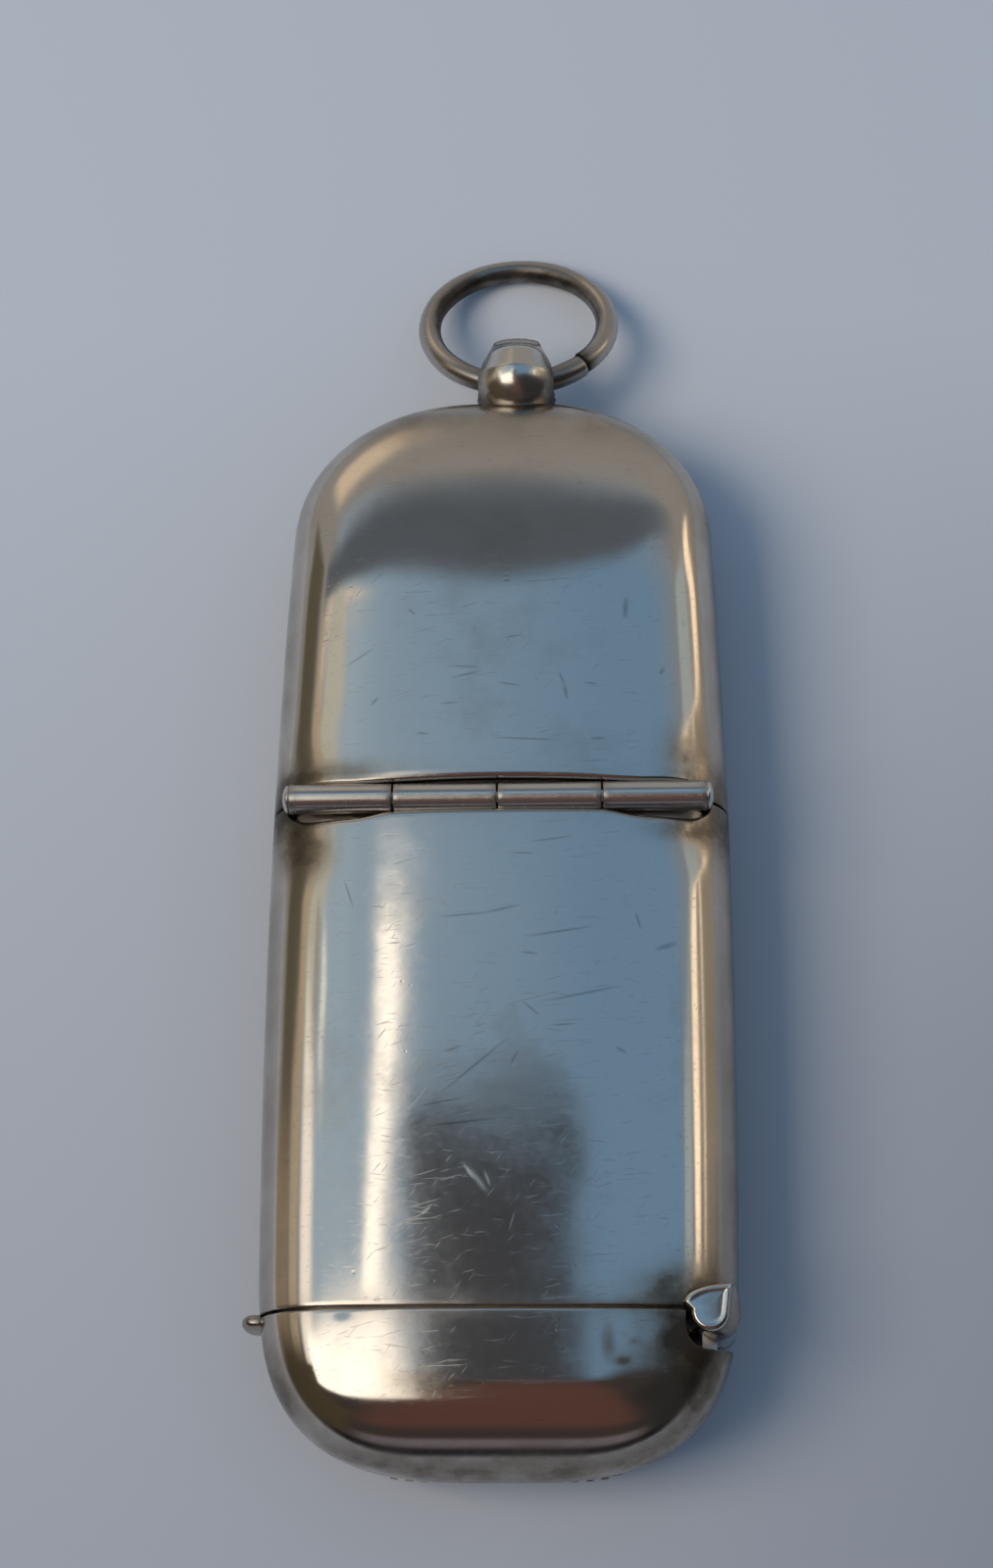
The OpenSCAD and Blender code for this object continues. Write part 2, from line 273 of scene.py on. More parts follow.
def piece(name, grid, body, material, nodes=(), loop=False, tarnish_and_shade=0.0, sharp=SHARP):
    """A closed piece from a grid of points (rows, columns, 3). Columns close on themselves; the first and
    last rows close on their middle points, unless the rows close on themselves too."""
    rows, columns = grid.shape[:2]
    points = grid.reshape(-1, 3)
    marks = np.broadcast_to(np.asarray(tarnish_and_shade, float), (rows, columns)).reshape(-1)
    quads = grid_faces(rows, columns, loop)
    flip = signed_volume(points - points.mean(0), quads) < 0
    faces = (quads[:, ::-1] if flip else quads).tolist()
    if not loop:
        c = np.arange(columns)
        turn = (c + 1) % columns
        last = (rows - 1) * columns
        first_cap = np.stack([np.full(columns, len(points)), turn, c], -1)
        last_cap = np.stack([np.full(columns, len(points) + 1), last + c, last + turn], -1)
        caps = np.concatenate([first_cap, last_cap])
        faces += (caps[:, ::-1] if flip else caps).tolist()
        points = np.concatenate([points, grid[:1].mean(1), grid[-1:].mean(1)])
        marks = np.concatenate([marks, marks[:1], marks[-1:]])
    mesh = bpy.data.meshes.new(name)
    mesh.from_pydata((points * MM).tolist(), [], faces)
    point_value(mesh, "tarnish_and_shade", marks)
    mesh.shade_smooth()
    mesh.set_sharp_from_angle(angle=math.radians(sharp))
    mesh.materials.append(material)
    obj = linked(name, mesh)
    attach(obj, body)
    if nodes:
        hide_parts(*nodes)
    return obj


# Materials

def node(tree, kind, inputs=None, **settings):
    """Adds a shader node, sets its settings, and links or sets its inputs by name or number."""
    new = tree.nodes.new(kind)
    for key, value in settings.items():
        setattr(new, key, value)
    for key, value in (inputs or {}).items():
        if isinstance(value, bpy.types.NodeSocket):
            tree.links.new(value, new.inputs[key])
        else:
            new.inputs[key].default_value = value
    return new


def maths(tree, operation, a, b=0.0, c=0.0, clamp=False):
    """One Math node's result."""
    return node(tree, "ShaderNodeMath", {0: a, 1: b, 2: c}, operation=operation, use_clamp=clamp).outputs[0]


def blend_colours(tree, share, a, b):
    """Mix of two colours by share."""
    mix = node(tree, "ShaderNodeMix", {0: share, 6: a, 7: b}, data_type="RGBA")
    return mix.outputs[2]


def remap(tree, value, low, high, to_low=0.0, to_high=1.0, **settings):
    """One Map Range node's result: low..high carried to to_low..to_high, and held there."""
    inputs = {0: value, 1: low, 2: high, 3: to_low, 4: to_high}
    return node(tree, "ShaderNodeMapRange", inputs, **settings).outputs[0]


def noise(tree, where, scale, detail, roughness):
    """One noise field's value at each place."""
    inputs = {"Vector": where, "Scale": scale, "Detail": detail, "Roughness": roughness}
    return node(tree, "ShaderNodeTexNoise", inputs).outputs["Fac"]


def clear_material(name):
    """A new material's tree, its surface shader and its coordinates in millimetres."""
    material = bpy.data.materials.new(name)
    material.use_nodes = True
    tree = material.node_tree
    shader = tree.nodes["Principled BSDF"]
    where = node(tree, "ShaderNodeTexCoord").outputs["Object"]
    where = node(tree, "ShaderNodeVectorMath", {0: where, "Scale": 1 / MM}, operation="SCALE").outputs[0]
    return material, tree, shader, where


# Noise fields of old silver: scale per millimetre, detail, roughness
CLOUD = (0.16, 5.0, 0.62)
WAVE = (0.35, 1.0, 0.5)
GRAIN = (2.4, 3.0, 0.5)
PITS = (1.3, 2.0, 0.5)
DRAWN = (1.0, 1.0, 0.5)

# What the fields are turned into: low and high of the field, and what they become
PIT_RANGE = (0.72, 0.80, 0.0, 1.0)
UNEVEN_RANGE = (0.35, 0.75, 0.35, 1.5)
HAZE_RANGE = (0.52, 0.80, 0.0, 0.25)
SCRATCH_EDGE = 0.07

# Colour of stains: how fast brown comes, how fast and from where black comes, black as a share of brown
BROWN_GAIN = 1.5
BLACK_GAIN = 2.5
BLACK_FROM = 1.5
BLACK_SHARE = 0.3
SCRATCH_DARK = 0.17
STROKE_DARK = 0.45
STROKE_EDGE = 0.65

# Roughness that the uneven polish, stains, scratches and rubbed marks add
GRAIN_ROUGH = 0.05
STAIN_ROUGH = 0.30
SCRATCH_ROUGH = 0.08
RUB_ROUGH = 0.11

# Relief of the finish in millimetres, and its shares in grain, scratches and pits
RELIEF = 0.008
GRAIN_SHARE = 0.05
SCRATCH_SHARE = 0.045
PIT_SHARE = 0.2


def scratch_mask(tree, where, angle, length, pitch, rare):
    """Fine straight scratches along one direction: noise drawn out by turning the place back by angle and
    dividing it by length and pitch, kept where it is high."""
    turned = {"Vector": where, "Rotation": (0, 0, angle), "Scale": (length, pitch, pitch)}
    drawn = node(tree, "ShaderNodeMapping", turned, vector_type="TEXTURE").outputs[0]
    return remap(tree, noise(tree, drawn, *DRAWN), rare, rare + SCRATCH_EDGE)


def stroke_mask(tree, where, x, y, angle, length, width):
    """One scratch on the front: 1 along its line, falling to 0 towards its sides and its ends."""
    turned = {"Vector": where, "Location": (x, y, MID_Z), "Rotation": (0, 0, angle),
              "Scale": (length / 2, STROKE_EDGE * width, 1)}
    local = node(tree, "ShaderNodeMapping", turned, vector_type="TEXTURE").outputs[0]
    part = node(tree, "ShaderNodeSeparateXYZ", {0: local}).outputs
    along = maths(tree, "SUBTRACT", 1.0, maths(tree, "MULTIPLY", part[0], part[0]), clamp=True)
    across = maths(tree, "SUBTRACT", 1.0, maths(tree, "ABSOLUTE", part[1]), clamp=True)
    front = maths(tree, "GREATER_THAN", part[2], FRONT_RISE)
    return maths(tree, "MULTIPLY", maths(tree, "MULTIPLY", along, across), front)


# Single scratches on the front: x, y, angle, length, width
STROKES = ((1.6, 8.3, -0.05, 4.0, 0.14), (3.8, 11.1, -1.39, 1.1, 0.22), (9.2, 12.4, 0.97, 0.6, 0.24),
           (-1.8, 12.2, 0.22, 1.9, 0.16), (-1.9, 12.7, -0.05, 1.9, 0.12), (-6.9, 10.7, 0.83, 0.7, 0.20),
           (-4.2, 8.7, -0.10, 0.8, 0.16), (0.6, 11.6, -0.18, 1.3, 0.14), (5.6, 8.3, -0.01, 1.0, 0.16),
           (-2.7, 10.5, 0.05, 1.1, 0.12), (-4.9, 16.1, -0.74, 0.6, 0.18), (0.9, 14.5, 0.13, 1.0, 0.12),
           (-7.8, 13.4, 0.59, 2.0, 0.12), (5.2, 11.6, -0.10, 0.8, 0.14), (3.6, 11.9, -1.14, 1.0, 0.14),
           (-1.7, -1.9, 0.08, 3.0, 0.14), (0.3, -1.6, 0.22, 2.2, 0.16), (3.4, -2.9, 0.15, 3.9, 0.16),
           (4.6, -6.4, 0.20, 4.7, 0.17), (-1.1, -10.3, 0.70, 4.8, 0.17), (9.2, -3.7, 0.34, 1.4, 0.30),
           (-2.3, -9.4, 0.26, 1.0, 0.16), (1.9, -7.2, -0.73, 1.3, 0.12), (1.0, -9.9, 1.05, 0.9, 0.14),
           (1.8, -4.1, -0.13, 1.1, 0.14), (-8.1, -0.6, -1.25, 1.9, 0.12), (7.7, -2.3, -1.27, 1.1, 0.16),
           (3.6, -8.1, 0.07, 1.6, 0.12), (6.7, -9.5, -0.48, 0.7, 0.18), (3.0, 2.4, 0.13, 2.5, 0.12),
           (1.4, 1.6, -0.06, 1.5, 0.12), (-2.9, -12.3, 0.20, 2.7, 0.12), (-1.8, -13.4, 0.11, 3.9, 0.14),
           (7.2, 16.2, 1.50, 1.5, 0.34))

# Short rubbed marks that scatter the light: x, y, angle, length, width
RUBS = ((-1.4, -16.0, -1.0, 1.2, 0.20), (-0.9, -16.5, -0.9, 1.9, 0.34), (-0.4, -16.4, -1.2, 1.0, 0.18),
        (-3.6, -18.1, 0.7, 0.7, 0.14), (0.9, -18.7, 1.3, 1.2, 0.10))

# Fine scratches all over: angle, length, width, how rare
SCRATCHES = ((0.06, 2.4, 0.13, 0.69), (-0.14, 1.8, 0.11, 0.70), (0.28, 2.0, 0.12, 0.70),
             (0.9, 1.4, 0.09, 0.71))


def worn_silver(name, bright, brown, roughness, scratches=1.0, strokes=(), rubs=()):
    """Old polished silver: a grey metal that browns where the piece's tarnish value (tarnish, and on some
    pieces painted shade) and a cloudy noise say, with fine scratches in four directions, single strokes,
    small pits and a slightly uneven polish."""
    material, tree, shader, where = clear_material(name)
    cloud = noise(tree, where, *CLOUD)
    wave = noise(tree, where, *WAVE)
    grain = noise(tree, where, *GRAIN)
    pits = remap(tree, noise(tree, where, *PITS), *PIT_RANGE)
    tarnish_and_shade = node(tree, "ShaderNodeAttribute", attribute_name="tarnish_and_shade").outputs["Fac"]
    stain_and_shade = maths(tree, "MULTIPLY", tarnish_and_shade, remap(tree, cloud, *UNEVEN_RANGE), clamp=True)
    stain_and_shade = maths(tree, "MAXIMUM", stain_and_shade, remap(tree, cloud, *HAZE_RANGE))
    marks = scratch_mask(tree, where, *SCRATCHES[0])
    for scratch in SCRATCHES[1:]:
        marks = maths(tree, "MAXIMUM", marks, scratch_mask(tree, where, *scratch))
    browned = maths(tree, "MULTIPLY", stain_and_shade, BROWN_GAIN, clamp=True)
    blackened = maths(tree, "MULTIPLY_ADD", stain_and_shade, BLACK_GAIN, -BLACK_FROM, clamp=True)
    black = tuple(BLACK_SHARE * value for value in brown[:3]) + (1,)
    colour = blend_colours(tree, browned, bright, brown)
    colour = blend_colours(tree, blackened, colour, black)
    dull = maths(tree, "MULTIPLY", maths(tree, "MAXIMUM", marks, pits), SCRATCH_DARK * scratches)
    for stroke in strokes:
        line = maths(tree, "MULTIPLY", stroke_mask(tree, where, *stroke), STROKE_DARK)
        dull = maths(tree, "MAXIMUM", dull, line)
    colour = blend_colours(tree, dull, colour, black)
    rough = maths(tree, "MULTIPLY_ADD", grain, GRAIN_ROUGH, roughness - GRAIN_ROUGH / 2)
    rough = maths(tree, "MULTIPLY_ADD", stain_and_shade, STAIN_ROUGH, rough)
    rough = maths(tree, "MULTIPLY_ADD", marks, SCRATCH_ROUGH * scratches, rough, clamp=True)
    for rub in rubs:
        rough = maths(tree, "MULTIPLY_ADD", stroke_mask(tree, where, *rub), RUB_ROUGH, rough, clamp=True)
    height = maths(tree, "MULTIPLY_ADD", grain, GRAIN_SHARE, wave)
    height = maths(tree, "MULTIPLY_ADD", marks, -SCRATCH_SHARE * scratches, height)
    height = maths(tree, "MULTIPLY_ADD", pits, -PIT_SHARE * scratches, height)
    relief = node(tree, "ShaderNodeBump", {"Height": height, "Strength": 1.0, "Distance": RELIEF * MM})
    tree.links.new(colour, shader.inputs["Base Color"])
    tree.links.new(rough, shader.inputs["Roughness"])
    tree.links.new(relief.outputs[0], shader.inputs["Normal"])
    shader.inputs["Metallic"].default_value = 1.0
    return material


# The brown of case_silver, ring_silver and bead_silver is tarnish, and also painted shade where the tarnish
# value carries it: the case's sides and lid, the ring's inside, the ball's sides.
case_silver = worn_silver("case_silver", (0.66, 0.61, 0.55, 1), (0.28, 0.235, 0.185, 1), 0.085,
                          strokes=STROKES, rubs=RUBS)
inner_silver = worn_silver("inner_silver", (0.60, 0.56, 0.50, 1), (0.26, 0.20, 0.15, 1), 0.30, 0.6)
ring_silver = worn_silver("ring_silver", (0.52, 0.475, 0.43, 1), (0.11, 0.095, 0.08, 1), 0.20)
bead_silver = worn_silver("bead_silver", (0.66, 0.62, 0.56, 1), (0.14, 0.12, 0.10, 1), 0.18)
hinge_silver = worn_silver("hinge_silver", (0.68, 0.66, 0.62, 1), (0.28, 0.25, 0.22, 1), 0.21, 0.7)
shield_silver = worn_silver("shield_silver", (0.72, 0.68, 0.62, 1), (0.26, 0.22, 0.18, 1), 0.12, 0.7)
pin_steel = worn_silver("pin_steel", (0.50, 0.48, 0.46, 1), (0.20, 0.15, 0.11, 1), 0.28)
striker_silver = worn_silver("striker_silver", (0.46, 0.42, 0.37, 1), (0.16, 0.12, 0.09, 1), 0.34)


# Sheet-metal marks, browning and painted shade on the shells

# Long waves of hand-worn sheet: height, turn per millimetre along x and along y, start
SHEET_WAVES = ((0.005, 0.42, 0.23, 0.6), (0.004, -0.27, 0.31, 2.1), (0.002, 0.85, -0.18, 4.0),
               (0.0015, 0.5, 0.7, 1.2))

# Dents: x, y, half width along x, half width along y, depth
DENTS = ((7.2, 16.2, 0.20, 0.55, 0.025), (6.5, -24.6, 0.22, 0.32, 0.02), (7.2, -25.1, 0.26, 0.30, 0.025),
         (-7.9, -23.35, 0.25, 0.25, 0.03), (11.2, 7.3, 1.4, 1.8, 0.14), (-11.3, 7.2, 1.6, 1.6, 0.13),
         (-11.3, 2.2, 1.7, 1.8, 0.17), (11.3, 2.6, 1.5, 1.5, 0.13))

# Brown stains: x, y, half width along x, half width along y, amount
STAINS = ((-10.4, 2.0, 1.3, 1.4, 0.9), (-8.6, 6.6, 3.2, 0.6, 0.55), (10.3, 7.6, 1.1, 1.7, 0.65),
          (9.9, 3.1, 1.6, 0.65, 0.9), (9.3, -22.2, 1.9, 1.0, 0.9), (7.6, -23.0, 2.6, 0.35, 0.6),
          (9.3, -25.7, 2.3, 1.8, 0.85), (5.9, -24.9, 0.30, 0.75, 0.75), (6.6, -25.9, 0.45, 0.25, 0.7))

# Heights over the middle between which waves and dents, and single stains, fade in on the front; waves and
# dents lie SKIN_DROP below the drawn skin
FACE_FADE = (1.5, 3.5)
STAIN_FADE = (1.5, 3.0)
SKIN_DROP = 0.03

# Browning at one place: amount and reach; how far in a hinge end's lies and how its reach is drawn out along
# the case, and how far to the left the lid hinge's lies
MID_SEAM = (0.25, 1.4)
LID_SEAM = (0.2, 0.8)
HINGE_END = (0.6, 2.0)
HINGE_END_IN = 0.4
HINGE_END_LONG = 0.8
LID_HINGE = (0.85, 2.7)
LID_HINGE_LEFT = 0.6

# Browning of whole areas: amount, and where it fades in, across, along or in height. On the case's sides and
# on the lid's sides it is tarnish and painted shade.
EDGE_BROWN = 0.15
EDGE_FADE = (9.5, 11.5)
# Case's sides: tarnish and painted shade
SIDE_BROWN_AND_SHADE = 0.34
SIDE_TOP = 3.8
SIDE_DEEP = 2.0
BACK_FADE = (-4.4, -3.0)
TOP_BROWN = 0.2
TOP_FADE = (-6, -2)
END_BROWN = 0.3
END_FADE = (-2.2, -0.6)
# Lid's sides: tarnish and painted shade
LID_SIDE_BROWN_AND_SHADE = 0.4
LID_SIDE_TOP = 4.3
LID_SIDE_DEEP = 1.3
# Painted shade: the lid's right side is darkened further
LID_RIGHT_SHADE = 0.3
LID_RIGHT_FADE = (3, 10)
LID_SEAM_FADE = (0, 2.5)
LID_MIDDLE = 0.3
LID_OUTER_FADE = (6, 10)
INNER_BROWN = 0.6


def sheet_wave(x, y):
    """Slight unevenness of the sheet: the sum of its long sine waves across the face."""
    return sum(height * np.sin(per_x * x + per_y * y + start) for height, per_x, per_y, start in SHEET_WAVES)


def spot(x, y, centre_x, centre_y, wide, tall):
    """A bell over the face: 1 at its centre, with one width along x and another along y."""
    return bump_at(np.hypot((x - centre_x) / wide, (y - centre_y) / tall), 1.0)


def worn_face(points):
    """Moves the front of a shell by the sheet's waves and by its dents, each a bell times its depth."""
    x, y, z = points[..., 0], points[..., 1], points[..., 2]
    front = fade_in(z, MID_Z, FACE_FADE)
    shift = sheet_wave(x, y)
    for *place, depth in DENTS:
        shift = shift - depth * spot(x, y, *place)
    moved = points.copy()
    moved[..., 2] = z + front * (shift - SKIN_DROP)
    return moved


def browning(distance, amount, reach):
    """Browning near one place: its amount times a bell of its reach."""
    return amount * bump_at(distance, reach)


def shell_tarnish_and_shade(points):
    """Browning of the skin: at the seams, the hinge ends, the lid hinge, the long edges, the sides, the
    rolled ends, most on the lid's own sides, and in single stains, each a bell times its amount;
    on the sides and the lid's sides it is tarnish and painted shade, on the lid's right side more painted
    shade."""
    x, y, z = points[..., 0], points[..., 1], points[..., 2]
    front = fade_in(z, MID_Z, STAIN_FADE)
    above_back = fade_in(z, MID_Z, BACK_FADE)
    seams = browning(y - MID_Y, *MID_SEAM) + browning(y - LID_Y, *LID_SEAM)
    from_hinge_end = np.hypot(np.abs(x) - TUBE_HALF + HINGE_END_IN, HINGE_END_LONG * (y - MID_Y))
    hinge_ends = browning(from_hinge_end, *HINGE_END)
    lid_hinge = browning(np.hypot(x - BARREL_X + LID_HINGE_LEFT, y - BARREL_Y), *LID_HINGE)
    edges = EDGE_BROWN * smooth(np.abs(x), *EDGE_FADE)
    # The sides, and the lid's sides below, are browned by tarnish and darkened by painted shade
    sides = SIDE_BROWN_AND_SHADE * smooth(MID_Z + SIDE_TOP - z, 0, SIDE_DEEP) * above_back
    ends = TOP_BROWN * fade_in(y, TOP_Y, TOP_FADE) + END_BROWN * fade_in(-y, -END_Y, END_FADE)
    # Painted shade added on the lid's right side, where it reflects the shadowed table
    lid_sides = LID_SIDE_BROWN_AND_SHADE + LID_RIGHT_SHADE * smooth(x, *LID_RIGHT_FADE)
    lid_sides = lid_sides * fade_in(-y, -LID_Y, LID_SEAM_FADE)
    lid_sides = lid_sides * smooth(MID_Z + LID_SIDE_TOP - z, 0, LID_SIDE_DEEP)
    outer_share = LID_MIDDLE + (1 - LID_MIDDLE) * smooth(np.abs(x), *LID_OUTER_FADE)
    lid_sides = lid_sides * outer_share * above_back
    stain_and_shade = seams + hinge_ends + lid_hinge + edges + sides + ends + lid_sides
    for *place, amount in STAINS:
        stain_and_shade = stain_and_shade + amount * front * spot(x, y, *place)
    return np.clip(stain_and_shade, 0, 1)


# Shells

# Room between a case's rim and the hinge tube: tight on its own knuckles, a lens or a scoop at the others
TIGHT = 0.03
LENS = 0.30
LENS_PAST = 2.2
SCOOP = 0.34
SCOOP_FADE = (-0.3, 2.4)

# Rolled rims: radius, what the hinge tube adds to it and between which places, and the radii at the lid seam
RIM_ROLL = 0.10
TUBE_ROLL = 0.20
TUBE_RISE = (2.5, 3.5)
TUBE_END_FADE = (0, 1)
LOWER_ROLL = 0.08
LID_RIM_ROLL = 0.12

# Rows of a rolled rim, of an end's outer and inner skin, and of the lower case's outer and inner skin
RIM_ROWS = 7
DOME_ROWS = 120
DOME_INNER_ROWS = 48
BODY_ROWS = 130
BODY_INNER_ROWS = 40


def tube_rim(points, spare):
    """How far a rim stands back from the cross seam: the half chord of a cylinder round the hinge tube,
    wider than the tube by spare, at the height of the skin; the plain half gap elsewhere."""
    x, z = points[..., 0], points[..., 2]
    reach = TUBE_R + spare(np.abs(x))
    chord = np.sqrt(np.maximum(reach ** 2 - (z - TUBE_Z) ** 2, SEAM_HALF ** 2))
    return np.where(z > MID_Z + FRONT_RISE, chord, SEAM_HALF)


def upper_spare(x):
    """The upper case is tight on the outer knuckles and stands off the inner ones in a long lens."""
    return TIGHT + LENS * np.clip(1 - (x / (KNUCKLE_HALF + LENS_PAST)) ** 2, 0, 1)


def lower_spare(x):
    """The lower case is tight on the inner knuckles and scooped out round the outer ones."""
    return TIGHT + SCOOP * fade_in(x, KNUCKLE_HALF, SCOOP_FADE)


def leaf_arc(x):
    """Height of the leaf's upper arc above the lid hinge's axis: a quarter superellipse on its foot."""
    s = np.clip((LEAF_RIGHT - (x - BARREL_X)) / LEAF_W, 0, 1)
    return LEAF_FOOT + LEAF_H * (1 - s ** LEAF_N) ** (1 / LEAF_N)


def lid_seam_rim(points):
    """How far the lower case's rim stands back from the lid seam: the leaf's arc at the hinge, or in
    the height of the lid's own knuckle the circle that it runs in; the plain half gap elsewhere."""
    x, z = points[..., 0], points[..., 2]
    leaf = BARREL_Y + leaf_arc(x) + LEAF_GAP
    run = BARREL_R + RUN_GAP
    circle = BARREL_Y + np.sqrt(np.maximum(run ** 2 - (x - BARREL_X) ** 2, 0))
    cut = np.where(np.abs(z - MID_Z) < MID_KNUCKLE_HALF, circle, leaf)
    return np.where(x > BARREL_X + LEAF_RIGHT - LEAF_W, np.maximum(cut - LID_Y, SEAM_HALF), SEAM_HALF)


def lid_notch_rim(points):
    """How far the lid's rim stands back from the lid seam: the lower halves of two circles at the hinge."""
    x = points[..., 0]
    rim = np.full_like(x, SEAM_HALF)
    for notch_x in NOTCHES:
        depth = NOTCH_Y - np.sqrt(np.maximum(NOTCH_R ** 2 - (x - notch_x) ** 2, 0))
        rim = np.where(x > notch_x - NOTCH_R, np.maximum(LID_Y - depth, rim), rim)
    return rim


def rim_block(seam, way, rim, roll):
    """Rows of a rolled rim: y and inset follow a quarter circle of radius roll, from the cut edge out."""
    turn = np.linspace(0, np.pi / 2, RIM_ROWS)[:, None]
    y = seam + way * (rim + roll * (1 - np.cos(turn)))
    return y, np.broadcast_to(roll * (1 - np.sin(turn)), y.shape)


def dome_shell(name, p, seam, tip, rim, roll, body, nodes):
    """An end of the case: outer skin from its tip to a rolled rim, then the inner skin back to the tip."""
    way = math.copysign(1, tip - seam)
    share = 1 - np.sin(np.linspace(0, np.pi / 2, DOME_ROWS))[:, None]
    rim_y, rim_inset = rim_block(seam, way, rim, roll)
    outer_tip = tip - way * TIP
    inner_tip = tip - way * (WALL + TIP)
    start = rim_y[-1]
    outer_y = outer_tip + (start - outer_tip) * share
    inner_share = 1 - np.sin(np.linspace(0, np.pi / 2, DOME_INNER_ROWS))[:, None]
    inner_y = inner_tip + (rim_y[0] - inner_tip) * inner_share
    outer = case_surface(p, outer_y, 0.0)[::-1]
    edge = case_surface(p, rim_y, rim_inset)[::-1]
    inner = case_surface(p, inner_y, WALL)
    skin = worn_face(np.concatenate([outer, edge[1:]]))
    stains_and_shade = np.concatenate([shell_tarnish_and_shade(skin), np.full(inner.shape[:2], INNER_BROWN)])
    grid = np.concatenate([skin, inner])
    return piece(name, grid, body, case_silver, nodes, tarnish_and_shade=stains_and_shade)


def tube_shell(name, p, low, high, body, nodes):
    """The lower case: outer skin between two rolled rims, and the inner skin back between their edges."""
    low_y, low_inset = low
    high_y, high_inset = high
    share = np.linspace(0, 1, BODY_ROWS)[1:-1, None]
    body_y = low_y[-1] + (high_y[-1] - low_y[-1]) * share
    inner_y = high_y[0] + (low_y[0] - high_y[0]) * np.linspace(0, 1, BODY_INNER_ROWS)[:, None]
    y = np.concatenate([low_y, body_y, high_y[::-1]])
    inset = np.concatenate([low_inset, np.zeros_like(body_y), high_inset[::-1]])
    skin = worn_face(case_surface(p, y, inset))
    inner = case_surface(p, inner_y, WALL)
    stains_and_shade = np.concatenate([shell_tarnish_and_shade(skin), np.full(inner.shape[:2], INNER_BROWN)])
    grid = np.concatenate([skin, inner])
    return piece(name, grid, body, case_silver, nodes, loop=True, tarnish_and_shade=stains_and_shade)


def both_sides(angles):
    """The same places on the front and on the back of the section."""
    return [sign * a for a in angles for sign in (1, -1)]


def tube_roll(points):
    """Radius of the rolled rim: small all round, larger along the hinge tube."""
    x, z = points[..., 0], points[..., 2]
    front = fade_in(z, MID_Z, TUBE_RISE)
    return RIM_ROLL + TUBE_ROLL * front * fade_in(-np.abs(x), -TUBE_HALF, TUBE_END_FADE)


upper_p = section_angles()
upper_seam = case_surface(upper_p, MID_Y, 0.0)
dome_shell("upper_shell_skin", upper_p, MID_Y, TOP_Y, tube_rim(upper_seam, upper_spare),
           tube_roll(upper_seam), "upper_case", ["upper_shell"])

# Two more angles close beside each sudden step of a rim
STEP = 0.002
mid_band = angle_of_z(MID_Z + MID_KNUCKLE_HALF)
leaf_tip = angle_of_x(BARREL_X + LEAF_RIGHT - LEAF_W, LID_Y)
lower_p = section_angles(both_sides([mid_band - STEP, mid_band + STEP, leaf_tip - STEP, leaf_tip + STEP]))
lower_mid = case_surface(lower_p, MID_Y, 0.0)
lower_end = case_surface(lower_p, LID_Y, 0.0)
tube_shell("lower_shell_skin", lower_p, rim_block(LID_Y, 1, lid_seam_rim(lower_end), LOWER_ROLL),
           rim_block(MID_Y, -1, tube_rim(lower_mid, lower_spare), tube_roll(lower_mid)),
           "lower_case", ["lower_shell"])

notch_edge = angle_of_x(NOTCHES[1] - NOTCH_R, LID_Y)
lid_p = section_angles(both_sides([notch_edge - STEP, notch_edge + STEP]))
lid_seam = case_surface(lid_p, LID_Y, 0.0)
dome_shell("lid_shell_skin", lid_p, LID_Y, END_Y, lid_notch_rim(lid_seam), LID_RIM_ROLL, "end_lid",
           ["lid_shell"])


# Collars and partition inside

COLLAR_GAP = 0.22
COLLAR_WALL = 0.35
COLLAR_OUT = 1.5
COLLAR_IN = 3.0
COLLAR_BROWN = 0.45
LIP_START = 0.3
LIP_SLOPE = 0.1
LIP_EDGE = 0.08
LIP_ROUND = 0.06
STATION_ROWS = 8
SOLDER = 0.03


def collar(name, node_name, seam, way, body):
    """Sleeve soldered into the lower case: a closed band of sections whose free lip stands out of the seam
    and is set in by the lip's clearance; at the hinge tube it dips under the tube's running space."""
    p = section_angles()
    step = 2 * SEAM_HALF + LIP_START
    skin = WALL + SOLDER
    lip = WALL + COLLAR_GAP
    bore = lip + COLLAR_WALL
    outside = [(-COLLAR_IN, skin), (-step - LIP_SLOPE, skin), (-step, lip), (0, lip),
               (COLLAR_OUT - LIP_EDGE, lip), (COLLAR_OUT, lip + LIP_ROUND)]
    inside = [(COLLAR_OUT, bore - LIP_ROUND), (COLLAR_OUT - LIP_EDGE, bore), (0, bore), (-COLLAR_IN, bore)]
    stations = np.array(outside + inside)
    knots = np.arange(len(stations))
    dense = np.linspace(0, len(stations) - 1, STATION_ROWS * len(stations))
    along = np.interp(dense, knots, stations[:, 0])[:, None]
    inset = np.interp(dense, knots, stations[:, 1])[:, None]
    points = case_surface(p, seam + way * along, inset)
    if seam == MID_Y:
        outer_z = case_surface(p, seam + way * along, lip)[..., 2]
        room = np.sqrt(np.maximum((TUBE_R + RUN_GAP) ** 2 - (points[..., 1] - MID_Y) ** 2, 0))
        dip = np.where(room > 0, np.maximum(outer_z - TUBE_Z + room, 0), 0)
        points[..., 2] -= dip * (points[..., 2] > MID_Z + FRONT_RISE)
    else:
        points[..., 0] = np.minimum(points[..., 0], NOTCHES[1] - NOTCH_R)
    return piece(name, points, body, inner_silver, [node_name], loop=True,
                 tarnish_and_shade=COLLAR_BROWN)


collar("mid_collar_sleeve", "mid_collar", MID_Y, 1, "lower_case")
collar("lid_collar_sleeve", "lid_collar", LID_Y, -1, "lower_case")

